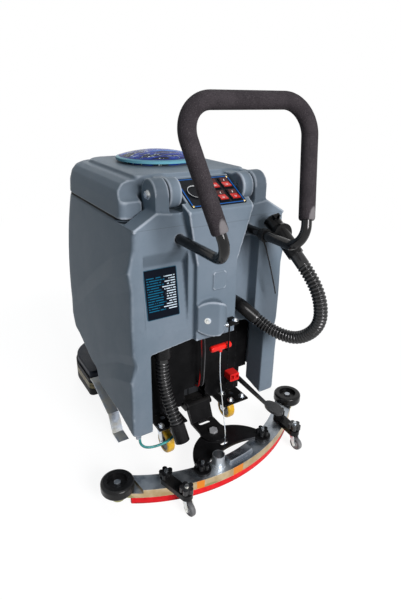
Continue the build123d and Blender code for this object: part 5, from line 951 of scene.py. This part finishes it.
def ribbed_radius(line, crest, valley, smooth, pitch, plain):
    """Round ribs of one pitch between two smooth end lengths.

    A rib is the root of a raised cosine, which has broad crests and narrow valleys.
    """
    run = np.linspace(0, path_length(line), len(line))
    rib = np.sqrt(0.5 + 0.5 * np.cos(2 * np.pi * (run - plain[0]) / pitch))
    wave = valley + (crest - valley) * rib
    mix = smooth_step(plain[0] - 0.002, plain[0] + 0.002, run)
    mix = mix * smooth_step(plain[1] - 0.002, plain[1] + 0.002, run[-1] - run)
    return smooth + (wave - smooth) * mix


def hose_rubber(name):
    """Satin black hose: grey scuffs on the crests, and painted shade that darkens it towards the valleys,
    read from the hose's own rib height.
    """
    finish, tree, shader = new_finish(name, Specular_IOR_Level=0.42)
    rib, grain = kept_value(tree, "rib"), grained(tree, 1100.0, 34.0)
    scuff = times(tree, between(tree, rib, 0.6, 1.0), between(tree, grain["Broad"], 0.5, 0.72))
    # Painted shade: the hose is darker in its valleys and lighter on its crests.
    tone = mingle(tree, rib, (0.002, 0.002, 0.0022), (0.012, 0.012, 0.013))
    feed(
        tree, shader, Base_Color=mingle(tree, times(tree, scuff, 0.55), tone, (0.045, 0.045, 0.046)),
        Roughness=plus(tree, vary(tree, grain["Broad"], 0.17, 0.28), times(tree, scuff, 0.2)),
        Normal=raised(tree, grain["Fine"], 0.10, 0.0005),
    )
    return finish


def ribbed_hose(name, node, finish, route, crest, valley, smooth, pitch, plain):
    """A ribbed hose in place of a CAD hose, with its middle line.

    It keeps how far each ring stands up as rib: 0 in a valley and 1 on a crest.
    """
    line, columns = route_line(node + "_route", route, 0.00075), 36
    radius = ribbed_radius(line, crest, valley, smooth, pitch, plain)
    hose = make_piece(name, [carried(line, (1, 0, 0), radius, columns)], finish, "body")
    keep_value(hose, "rib", np.repeat(np.clip((radius - valley) / (crest - valley), 0, 1), columns))
    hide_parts(node)
    return hose, line


drain_route = np.array([
    (0.138, rear_wall - 0.020, 0.440), (0.1615, rear_wall - 0.0406, 0.415), (0.186, rear_wall - 0.086, 0.398),
    (0.206, rear_wall - 0.136, 0.402), (0.215, rear_wall - 0.181, 0.437), (0.213, rear_wall - 0.211, 0.486),
    (0.206, rear_wall - 0.212, 0.540), (0.196, rear_wall - 0.195, 0.590),
    (0.18165, rear_wall - 0.1604, 0.6362), (0.176, rear_wall - 0.129, 0.662),
])
ribbed = hose_rubber("ribbed_hose_rubber")
drain, drain_line = ribbed_hose(
    "drain_hose_ribbed", "drain_hose", ribbed, drain_route, crest=0.0192, valley=0.0150, smooth=0.0180,
    pitch=0.0102, plain=(0.006, 0.036),
)
tuple(drain_line[0])
path_length(drain_line)

# Cable tie: a black nylon band drawn tight round the handle tube in front of the clip.
# Its long flat tail is left hanging.
tie_back = rear_wall - 0.060
tie_tube = np.array([0.108, tie_back, 0.712])
band_profile = rounded_profile(
    [(0.0124, -0.0024), (0.0142, -0.0024), (0.0142, 0.0024), (0.0124, 0.0024)], 0.0005
)
tie_tail = even_path(np.array([
    (0.113, tie_back, 0.6990), (0.121, tie_back, 0.6850), (0.1275, tie_back - 0.001, 0.6700),
    (0.1335, tie_back - 0.001, 0.6530), (0.1530, tie_back, 0.6000), (0.1670, tie_back + 0.001, 0.5600),
    (0.1800, tie_back + 0.003, 0.5210),
]), 0.003)
tail_columns, tail_half_thick, tail_half_wide = 24, 0.0007, 0.0023
tail_turn = np.linspace(0, 2 * np.pi, tail_columns, endpoint=False)
tail_thin, tail_wide = np.cos(tail_turn) / tail_half_thick, np.sin(tail_turn) / tail_half_wide
tail_oval = 1 / np.sqrt(tail_thin ** 2 + tail_wide ** 2)
# The first four rings are the tie's lock, which is thicker.
tail_radius = np.where(np.arange(len(tie_tail)) < 4, 2.2, 1.0)[:, None] * tail_oval
tie_band = turned(band_profile, tie_tube, (0, 1, 0), 48)
tail = carried(tie_tail, (1, 0, 0.4), tail_radius, tail_columns)
make_piece("cable_tie", [tie_band, tail], black_plastic, "body")

# Vacuum hose: the same ribbed hose, from the inlet under the body down towards the squeegee.
# It ends in a smooth moulded cuff that hangs free by the suction port.
vacuum_route = np.array([
    (-0.150, rear_wall + 0.030, 0.362), (-0.150, rear_wall + 0.030, 0.318),
    (-0.146, rear_wall + 0.027, 0.266), (-0.138, rear_wall + 0.016, 0.214),
    (-0.129, rear_wall, 0.166), (-0.119, rear_wall - 0.030, 0.095),
])
vacuum, vacuum_line = ribbed_hose(
    "vacuum_hose_ribbed", "vacuum_hose", ribbed, vacuum_route, crest=0.0202, valley=0.0156, smooth=0.0184,
    pitch=0.0122, plain=(0.016, 0.052),
)
tuple(vacuum_line[0])
path_length(vacuum_line)

# Water tube: a limp hose of soft teal plastic, 8 mm thick.
# It loops from under the left leg to the base plate.
tube_route = np.array([
    (-0.236, rear_wall + 0.016, 0.112), (-0.236, rear_wall + 0.016, 0.096),
    (-0.229, rear_wall + 0.012, 0.0825), (-0.216, rear_wall + 0.008, 0.0745),
    (-0.196, rear_wall + 0.005, 0.071), (-0.172, rear_wall + 0.004, 0.070),
    (-0.152, rear_wall + 0.005, 0.071), (-0.137, rear_wall + 0.007, 0.074),
    (-0.127, rear_wall + 0.010, 0.0795), (-0.1205, rear_wall + 0.013, 0.0875),
    (-0.118, rear_wall + 0.015, 0.097), (-0.118, rear_wall + 0.015, 0.107),
])
tube_line = route_line("tube_route", tube_route, 0.0015)
teal, tree, shader = new_finish("teal_tube", IOR=1.48, Subsurface_Weight=0.25, Subsurface_Scale=0.004)
cloud = noise(tree, here(tree), 60.0, 4.0)
feed(
    tree, shader, Base_Color=drift(tree, cloud, (0.025, 0.20, 0.20), (0.06, 0.36, 0.34)),
    Roughness=vary(tree, cloud, 0.16, 0.34),
)
tube = make_piece("water_tube_teal", [carried(tube_line, (0, 1, 0), 0.004, 20)], teal, "body")
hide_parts("water_tube")
path_length(tube_line)

# Lift handle and cable: a glossy red moulded T-handle that hangs on its hook behind the column.
# A steel wire rope runs down from it and pulls the squeegee up by a crimped ball.
yaw, pivot_y = np.radians(6.5), rear_wall - 0.025


def on_squeegee(x, y, z):
    """A place in the squeegee's own plan, turned by the yaw it stands at and set at its pivot."""
    return np.array([x * np.cos(yaw) - y * np.sin(yaw), pivot_y + x * np.sin(yaw) + y * np.cos(yaw), z])


red_gloss, tree, shader = new_finish("red_handle", Specular_IOR_Level=0.30)
grain = grained(tree, 700.0, 45.0)
tone = drift(tree, grain["Broad"], (0.66, 0.008, 0.006), (0.84, 0.016, 0.008))
feed(
    tree, shader, Base_Color=mingle(tree, rubbed(tree, 0.0012, 0.4), tone, (0.85, 0.20, 0.16)),
    Roughness=vary(tree, grain["Fine"], 0.22, 0.36), Normal=raised(tree, grain["Fine"], 0.06, 0.0004),
)
dress(red_gloss, "lift_handle")
tee = np.array([0.007, rear_wall - 0.036, 0.382])
cable_foot = on_squeegee(0.0, -0.0555, 0.043)
cable_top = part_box("lift_cable")[1].z
cable_route = np.array([
    (tee[0], tee[1], cable_top), tee + (0, 0, -0.058), tee + (0.003, 0, -0.110),
    tee + (0.007, -0.005, -0.164), tee + (0.0085, -0.014, -0.214), tee + (0.006, -0.029, -0.258),
    tee + (0.0015, -0.0435, -0.296), cable_foot,
])
cable_line = route_line("cable_route", cable_route, 0.0010)
rope_columns, rope_lay, rope_inside, strand_swell, ball_radius = 24, 0.016, 0.00142, 0.00018, 0.0072
rope_angle = np.linspace(0, 2 * np.pi, rope_columns, endpoint=False)
rope_turn = 2 * np.pi * np.linspace(0, path_length(cable_line), len(cable_line)) / rope_lay
# The rope's six strands show as six round swellings that wind along it.
rope_radius = rope_inside + strand_swell * np.abs(np.sin(3 * rope_angle))
rope_radius = np.broadcast_to(rope_radius, (len(cable_line), rope_columns))
rope_zinc = plated("wire_rope", (0.74, 0.75, 0.77), 0.32, rub=0.0, streak=(700.0, 700.0, 120.0))
rope = carried(cable_line, (1, 0, 0), rope_radius, rope_columns, rope_turn)
cable = make_piece("wire_rope", [rope], rope_zinc, "lift_handle")
ball_angle = np.linspace(np.pi / 2, -np.pi / 2, 24)
ball_profile = ball_radius * np.stack([np.cos(ball_angle), np.sin(ball_angle)], -1)
sleeve = rounded_profile([(0.0, 0.016), (0.0020, 0.016), (0.0023, 0.006), (0.0023, 0.004)], 0.0004)
ball_parts = [turned(ball_profile, cable_foot, (0, 0, 1), 32), turned(sleeve, cable_foot, (0, 0, 1), 24)]
ball = make_piece("cable_ball", ball_parts, zinc, "lift_handle")
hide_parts("lift_cable")
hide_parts("lift_cable")
path_length(cable_line)

# Charge connector: a red two-pole housing of moulded plastic on the right rear post.
# Three thin leads in black, red and grey hang down the back panel beside it.


def loose_copy(node, keep):
    """The part of a CAD node whose points pass a test, merged, as points and triangles."""
    shell = merged_shell(node)
    bmesh.ops.delete(shell, geom=[vert for vert in shell.verts if not keep(vert.co)], context="VERTS")
    shell.verts.index_update()
    points = np.array([vert.co[:] for vert in shell.verts])
    faces = np.array([[vert.index for vert in face.verts] for face in shell.faces])
    shell.free()
    return points, faces


connector_red = coated("connector_red", (0.62, 0.015, 0.013), 0.30, rub=0.3, dust=0.05,
                       bare=(0.85, 0.25, 0.22))
housing_shell = loose_copy("charge_connector", lambda place: place.x > 0.1)
housing = make_piece("connector_housing", [housing_shell], connector_red, "body", angle=30)
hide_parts("charge_connector")
panel_back, lead_radius = rear_wall + 0.092, 0.0022
for word, colour, (top_x, top_y), (end_x, end_z) in (
    ("black", (0.012, 0.012, 0.013), (-0.004, 0.064), (0.008, 0.188)),
    ("red", (0.30, 0.012, 0.012), (0.006, 0.068), (0.003, 0.174)),
    ("grey", (0.10, 0.10, 0.105), (0.016, 0.066), (0.018, 0.172)),
):
    lead_finish = coated("lead_" + word, colour, 0.38, rub=0.0, dust=0.1, fine=1500.0)
    middle, back = (top_x + end_x) / 2, rear_wall + top_y
    lead_line = route_line("lead_route", np.array([
        (top_x, back, 0.411), (top_x, back, 0.361), (middle + 0.003, back, 0.306),
        (middle + 0.001, back - 0.001, 0.251), (end_x, back + 0.002, end_z + 0.030),
        (end_x, panel_back - 0.016, end_z), (end_x, panel_back, end_z),
    ]), 0.0015)
    lead_tube = carried(lead_line, (1, 0, 0), lead_radius, 14)
    lead = make_piece("lead_" + word, [lead_tube], lead_finish, "body")
    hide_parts("charge_connector")
    path_length(lead_line)

# Scrub deck: a pressed steel pan under the front, painted dark blue, that lifts by the pedal.
# A pale ruled strip clamps its black rubber skirt round it.
deck_finish, tree, shader = new_finish("deck_paint", Specular_IOR_Level=0.12)
grain = grained(tree, 650.0, 12.0)
tone = laid_over(
    tree, drift(tree, grain["Broad"], (0.007, 0.011, 0.021), (0.014, 0.021, 0.036)),
    (rubbed(tree, 0.002, 0.5), (0.28, 0.29, 0.31)), (dusted(tree, 0.12), (0.28, 0.27, 0.25)),
)
feed(
    tree, shader, Base_Color=tone, Roughness=vary(tree, grain["Broad"], 0.30, 0.46),
    Normal=raised(tree, grain["Fine"], 0.10, 0.0006),
)
dress(deck_finish, "brush_deck")
skirt_low, skirt_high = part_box("deck_skirt")
strip_low, strip_high, strip_rule = 0.40, 0.74, 0.57
skirt_finish, tree, shader = new_finish("skirt_rubber", Specular_IOR_Level=0.16)
grain = grained(tree, 900.0, 18.0)
height = share_of(tree, axis_of(tree, "Z"), skirt_low.z, skirt_high.z)
strip = band(tree, height, strip_low, strip_high, 0.02)
rule = between(tree, apart(tree, height, strip_rule), 0.012, 0.024)
black = drift(tree, grain["Broad"], (0.005, 0.005, 0.006), (0.011, 0.011, 0.012))
beige = drift(tree, grain["Broad"], (0.34, 0.25, 0.12), (0.50, 0.40, 0.22), 0.35, 0.65)
feed(
    tree, shader, Base_Color=mingle(tree, times(tree, strip, rule), black, beige),
    Roughness=between(tree, strip, 0.0, 1.0, 0.60, 0.40),
    Normal=raised(tree, plus(tree, strip, times(tree, grain["Fine"], 0.2)), 0.5, 0.0012),
)
dress(skirt_finish, "deck_skirt")

# Scrub discs: two black moulded driver plates that turn under the deck.
# Each has a red fibre pad held under it.
pad_top = 0.0244
pad_finish, tree, shader = new_finish("fibre_pad")
fibre = noise(tree, here(tree), 420.0, 6.0, Distortion=2.5)
under = between(tree, axis_of(tree, "Z"), pad_top, pad_top - 0.0008)
red_fibre = drift(tree, fibre, (0.16, 0.008, 0.008), (0.42, 0.03, 0.025), 0.35, 0.65)
feed(
    tree, shader, Base_Color=mingle(tree, under, (0.02, 0.02, 0.021), red_fibre),
    Roughness=between(tree, under, 0.0, 1.0, 0.42, 0.94),
    Normal=raised(tree, times(tree, fibre, under), 0.9, 0.0025),
)
dress(pad_finish, "scrub_disc_left", "scrub_disc_right")

# Pedal: a black steel arm that reaches out behind the machine and lifts the deck.
# Its oval tread has a rubber face, speckled for grip.
tread_foot, tread_front = 0.1335, -0.278
tread_finish, tree, shader = new_finish("pedal_tread")
place = here(tree)
spots = between(tree, put(tree, "TexVoronoi", {"Vector": place, "Scale": 420.0}).outputs[0], 0.42, 0.22)
tread = times(tree, between(tree, axis_of(tree, "Z", place), tread_foot, tread_foot + 0.001),
              between(tree, axis_of(tree, "Y", place), tread_front, tread_front - 0.003))
speckle = times(tree, spots, tread)
tone = laid_over(
    tree, mingle(tree, speckle, (0.015, 0.015, 0.016), (0.055, 0.056, 0.058)),
    (rubbed(tree, 0.0016, 0.5), (0.25, 0.25, 0.26)),
)
feed(
    tree, shader, Base_Color=tone, Roughness=between(tree, spots, 0.0, 1.0, 0.46, 0.62),
    Normal=raised(tree, speckle, 0.8, 0.0012),
)
dress(tread_finish, "deck_pedal")

# Squeegee: a curved aluminium casting with two red rubber blades clamped round it.
# Its top is brushed in long arcs and its sides are as cast, with a tarnish and two orange tape tabs behind.
# The blades' lower edges are darkened by the wet floor.
curve_centre, flank_radius = on_squeegee(0.0, 0.385, 0.0), 0.532
port_middle, flank_top = on_squeegee(-0.068, -0.106, 0.0), 0.0525
port_bore, port_outside, tab_reach, wet_top = 0.0156, 0.0225, 0.060, 0.007
tab_places = ((np.radians(-9.7), 0.0125), (np.radians(4.0), 0.0185))
alloy, tree, shader = new_finish("cast_aluminium", Metallic=1.0)
place = here(tree)
sweep = times(tree, round_about(tree, curve_centre)["Radius"], 1600.0)
rings = put(tree, "TexNoise", {"W": sweep, "Detail": 3.0, "Scale": 1.0}, noise_dimensions="1D").outputs[0]
cast, cloud = noise(tree, place, 300.0, 4.0), noise(tree, place, 22.0, 5.0)
up = axis_of(tree, "Z", put(tree, "NewGeometry", {}).outputs["Normal"])
port_radius = round_about(tree, port_middle)["Radius"]
flank_share = times(tree, between(tree, up, 0.9, 0.6),
                    between(tree, axis_of(tree, "Z", place), flank_top, flank_top - 0.001))
flank_share = times(tree, flank_share, between(tree, port_radius, port_outside, port_outside + 0.001))
flank = drift(tree, cloud, (0.42, 0.30, 0.15), (0.58, 0.47, 0.30), 0.35, 0.65)
flank = mingle(tree, between(tree, noise(tree, place, 11.0, 1.0), 0.42, 0.39), flank, (0.30, 0.29, 0.13))
for angle, half in tab_places:
    middle = curve_centre + flank_radius * np.array([np.sin(angle), -np.cos(angle), 0.0])
    spot = round_about(tree, middle, (np.cos(angle), np.sin(angle), 0.0))
    tab = times(tree, between(tree, reckon(tree, "ABSOLUTE", spot["Along"]), half, half - 0.001),
                between(tree, spot["Radius"], tab_reach, tab_reach - 0.002))
    flank = mingle(tree, tab, flank, (0.78, 0.26, 0.03))
# Inside the port's bore the casting is painted dark grey: a painted shade.
tone = laid_over(
    tree, drift(tree, cloud, (0.26, 0.29, 0.33), (0.50, 0.53, 0.56)), (flank_share, flank),
    (between(tree, port_radius, port_bore + 0.0006, port_bore), (0.07, 0.08, 0.09)),
    (rubbed(tree, 0.002, 0.6), (0.88, 0.88, 0.88)),
)
brushed = times(tree, rings, between(tree, up, 0.6, 0.9))
feed(
    tree, shader, Base_Color=tone,
    Roughness=plus(tree, vary(tree, cloud, 0.26, 0.40), vary(tree, rings, -0.05, 0.07)),
    Normal=raised(tree, plus(tree, brushed, times(tree, cast, 0.5)), 0.14, 0.0006),
)
dress(alloy, "squeegee_casting")
blade_rubber, tree, shader = new_finish("red_blade_rubber", Specular_IOR_Level=0.16)
grain = grained(tree, 900.0, 40.0)
wet = times(tree, between(tree, axis_of(tree, "Z"), wet_top, 0.001),
            between(tree, grain["Broad"], 0.42, 0.62))
tone = drift(tree, grain["Broad"], (0.62, 0.008, 0.014), (0.80, 0.016, 0.022))
feed(
    tree, shader, Base_Color=mingle(tree, wet, tone, (0.26, 0.02, 0.02)),
    Roughness=vary(tree, grain["Fine"], 0.42, 0.6), Normal=raised(tree, grain["Fine"], 0.12, 0.0005),
)
dress(blade_rubber, "squeegee_blades")

# Yoke, bumper rollers and star knobs: the black fittings on the squeegee, each on a zinc bolt.
# The yoke is coated steel, the rollers at the ends and the knobs that clamp the casting are nylon.


def bolted_finish(name, centre, bolt, rough=0.26, above=-1.0):
    """Black moulding with a zinc bolt: metal inside the bolt's radius of an upright axis, above a height."""
    finish, tree, shader = new_finish(name, Specular_IOR_Level=0.22)
    spot, grain = round_about(tree, centre), grained(tree, 1000.0, 40.0)
    metal = times(tree, between(tree, spot["Radius"], bolt + 0.0002, bolt - 0.0002),
                  between(tree, spot["Along"], above - 0.0002, above + 0.0002))
    colour = np.array((0.006, 0.006, 0.0065))
    tone = laid_over(
        tree, drift(tree, grain["Broad"], 0.7 * colour, 1.4 * colour),
        (rubbed(tree, 0.0012, 0.35), (0.12, 0.12, 0.125)), (metal, (0.70, 0.71, 0.73)),
    )
    feed(
        tree, shader, Base_Color=tone, Metallic=times(tree, metal, 0.55),
        Roughness=vary(tree, grain["Fine"], rough - 0.1, rough + 0.1, 0.25, 0.75),
        Normal=raised(tree, grain["Fine"], 0.10, 0.0005),
    )
    return finish


yoke_bolt, roller_bolt, knob_bolt = 0.0146, 0.0062, 0.0052
yoke_top, roller_aside = 0.0684, 0.345
knob_places = (("yoke", 0.121, -0.098), ("bracket", 0.228, -0.068))
yoke_finish = bolted_finish("yoke_coat", on_squeegee(0, 0, 0), yoke_bolt, rough=0.34, above=yoke_top)
dress(yoke_finish, "squeegee_yoke")
for side, word in sides:
    roller_finish = bolted_finish("roller_nylon_" + word, on_squeegee(side * roller_aside, 0, 0), roller_bolt)
    dress(roller_finish, "bumper_roller_" + word)
    for held, x, y in knob_places:
        knob_finish = bolted_finish(f"knob_{held}_{word}", on_squeegee(side * x, y, 0), knob_bolt)
        dress(knob_finish, f"star_knob_{held}_{word}")

# Squeegee casters: small pressed zinc forks on threaded stems, set in height by black star knobs.
# They trail behind the squeegee on grey rubber wheels.
stem_foot, knob_bore = 0.0683, 0.0060
towed_aside, stem_back, towed_back, towed_radius, towed_hub = 0.215, -0.148, -0.162, 0.021, 0.0131
towed_section = wheel_section(
    [(0.0036, 0.0078), (0.0075, 0.0078), (0.0082, 0.0056), (0.0125, 0.0056), (0.0135, 0.0072),
     (0.0180, 0.0074), (0.0208, 0.0048), (0.0210, 0.0)], 0.0015
)
roll_axis = (float(np.cos(yaw)), float(np.sin(yaw)), 0.0)
for side, word in sides:
    finish, tree, shader = new_finish("towed_fork_" + word)
    stem_place = on_squeegee(side * towed_aside, stem_back, 0)
    spot, grain = round_about(tree, stem_place), grained(tree, 900.0, 40.0)
    knob = times(tree, between(tree, spot["Along"], stem_foot, stem_foot + 0.0002),
                 between(tree, spot["Radius"], knob_bore, knob_bore + 0.0004))
    bright = drift(tree, grain["Broad"], (0.52, 0.57, 0.63), (0.72, 0.71, 0.66))
    feed(
        tree, shader, Base_Color=mingle(tree, knob, bright, (0.015, 0.015, 0.016)),
        Metallic=minus(tree, 1.0, knob), Roughness=vary(tree, grain["Broad"], 0.24, 0.40),
        Normal=raised(tree, grain["Fine"], 0.10, 0.0005),
    )
    dress(finish, "squeegee_caster_fork_" + word)
    hub_place = on_squeegee(side * towed_aside, towed_back, towed_radius)
    grey = rolling_finish(
        "towed_rubber_" + word, (0.13, 0.13, 0.135), (0.30, 0.30, 0.31), hub_place, roll_axis, towed_hub
    )
    roll_wheel(
        "towed_wheel_" + word, "squeegee_caster_wheel_" + word, towed_section, hub_place, roll_axis, 56, grey,
    )

# Fasteners: zinc hexagon bolts with washers on the column's boss, at the handle's hook and on the base plate.
# The control panel is held by four yellow-passivated screws with domed heads and a round recess in each.


def hex_bolt(centre, axis, across, head):
    """A washer under a hexagon head with a chamfered crown and a slightly dished top."""
    washer = [(0, 0), (1.05 * across, 0), (1.05 * across, 0.15 * head), (0, 0.15 * head)]
    crown = [(0, 0), (0.577 * across, 0.0), (0.577 * across, 0.85 * head), (0.50 * across, head),
             (0.18 * across, head), (0.15 * across, 0.9 * head), (0, 0.9 * head)]
    return [turned(rounded_profile(washer, 0.0004), centre, axis, 32), turned(crown, centre, axis, 6)]


def bolt_set(name, bolts):
    """One piece of zinc bolts on the body, each given as (centre, axis, width across flats, head height)."""
    parts = [part for bolt in bolts for part in hex_bolt(*bolt)]
    return make_piece(name, parts, zinc, "body", angle=30)


facet_left, facet_right = np.array([-0.065, rear_wall - 0.026]), np.array([-0.016, rear_wall - 0.060])
facet_out = np.array([facet_right[1] - facet_left[1], facet_left[0] - facet_right[0]])
facet_out /= np.linalg.norm(facet_out)
boss_spot = 0.55 * facet_left + 0.45 * facet_right
upright = (0.0, 0.0, 1.0)
bolt_set("hex_bolts", [
    ((*boss_spot, 0.480), (*facet_out, 0.0), 0.009, 0.006),
    ((0.0195, rear_wall - 0.046, 0.455), (-1.0, 0.0, 0.0), 0.008, 0.006),
    ((0.047, rear_wall - 0.0462, 0.4622), upright, 0.009, 0.006),
])
base_top, base_places = 0.110, ((0.155, 0.038), (0.109, 0.038), (0.104, 0.084))
bolt_set("base_bolts", [
    ((side * x, rear_wall + y, base_top), upright, 0.012, 0.008) for side in (-1, 1) for x, y in base_places
])

dome = rounded_profile(
    [(0.0, -0.001), (0.0034, -0.001), (0.0034, 0.0006), (0.0018, 0.0017), (0.0016, 0.0017)], 0.0008
)
recess = [(0.0016, 0.0017), (0.0014, 0.0006), (0, 0.0006)]
off_panel = (0, -np.sin(slope), np.cos(slope))
screws = [
    turned(profile, on_panel(across, along, 0.0019), off_panel, 24)
    for along in (-0.050, 0.050) for across in (-0.078, 0.078) for profile in (dome, recess)
]
yellow_zinc = plated("yellow_passivate", (0.78, 0.60, 0.26), 0.26)
make_piece("panel_screws", screws, yellow_zinc, "body", angle=40)

# Studio: a pale floor, a large soft lamp behind the operator, weaker ones at the left, in front and above.
# An even sky; the camera stands behind the machine's left rear corner, as the photograph's did.


def aim(thing, place, target):
    """Turns a lamp or camera at a place so that it looks down its own -Z at the target."""
    look = (Vector(target) - Vector(place)).to_track_quat("-Z", "Y")
    thing.matrix_world = Matrix.Translation(place) @ look.to_matrix().to_4x4()


def shown(tree):
    """1 for the rays that show a backdrop: the camera's own, and those from gloss and through glass."""
    ray = put(tree, "LightPath", {}).outputs
    returned = reckon(tree, "MAXIMUM", ray["Is Glossy Ray"], ray["Is Transmission Ray"])
    return reckon(tree, "MAXIMUM", ray["Is Camera Ray"], returned)


floor_half, near, far = 30, 1.0, 3.0
floor_corners = [(-floor_half, -floor_half, 0), (floor_half, -floor_half, 0), (floor_half, floor_half, 0),
                 (-floor_half, floor_half, 0)]
floor_mesh = bpy.data.meshes.new("studio_floor")
floor_mesh.from_pydata(floor_corners, [], [(0, 1, 2, 3)])
studio_floor = stand("studio_floor", floor_mesh)
floor_finish, tree, shader = new_finish("pale_floor", Base_Color=(0.34, 0.34, 0.34, 1.0), Roughness=0.9)
reach = vectors(tree, "LENGTH", here(tree))
strength = between(tree, reach, near, far, 1.50, 1.0)
glow = put(tree, "Emission", {"Color": (1.0, 1.0, 1.0, 1.0), "Strength": strength}).outputs[0]
share = times(tree, shown(tree), between(tree, reach, near, far, 0.60, 1.0))
mixed = put(tree, "MixShader", {0: share, 1: tree.nodes["Principled BSDF"].outputs[0], 2: glow})
tree.links.new(mixed.outputs[0], tree.nodes["Material Output"].inputs["Surface"])
floor_mesh.materials.append(floor_finish)

for name, place, power, size, colour in (
    ("key", (0.05, -3.3, 1.9), 140.0, 1.3, (1.0, 0.985, 1.0)),
    ("side", (-3.2, 0.2, 1.7), 4.5, 1.6, (0.20, 0.66, 1.0)),
    ("front", (0.9, 3.2, 1.9), 60.0, 1.6, (1.0, 1.0, 1.0)),
    ("top", (0.3, 0.1, 3.4), 14.0, 1.8, (0.90, 0.98, 1.0)),
):
    lamp = bpy.data.lights.new(name, "AREA")
    lamp.energy, lamp.size, lamp.color = power, size, colour
    holder = stand(name, lamp)
    holder.visible_glossy = name != "front"
    aim(holder, place, (0.0, 0.0, 0.5))

world = bpy.data.worlds.new("studio_sky")
world.use_nodes = True
bpy.context.scene.world = world
tree = world.node_tree
seen = shown(tree)
sky = tree.nodes["Background"].inputs
tree.links.new(between(tree, seen, 0.0, 1.0, 0.05, 1.0), sky["Strength"])
tree.links.new(mingle(tree, seen, (0.74, 0.92, 1.0), (1.0, 1.0, 1.0)), sky["Color"])

camera = bpy.data.cameras.new("camera")
camera.sensor_fit, camera.sensor_height, camera.lens = "VERTICAL", 36.0, 28.04
viewer = stand("camera", camera)
viewer_place = (-0.6708, -1.23686, 1.0610)
turn, tilt, roll = np.radians((32.02, 24.24, 1.09))
ahead = np.array([np.sin(turn) * np.cos(tilt), np.cos(turn) * np.cos(tilt), -np.sin(tilt)])
right = np.array([np.cos(turn), -np.sin(turn), 0.0])
above = np.cross(right, ahead)
right, above = np.cos(roll) * right + np.sin(roll) * above, np.cos(roll) * above - np.sin(roll) * right
viewer.matrix_world = Matrix(np.vstack([np.c_[right, above, -ahead, viewer_place], (0, 0, 0, 1)]).tolist())
bpy.context.scene.camera = viewer
bpy.context.scene.view_settings.view_transform = "Standard"
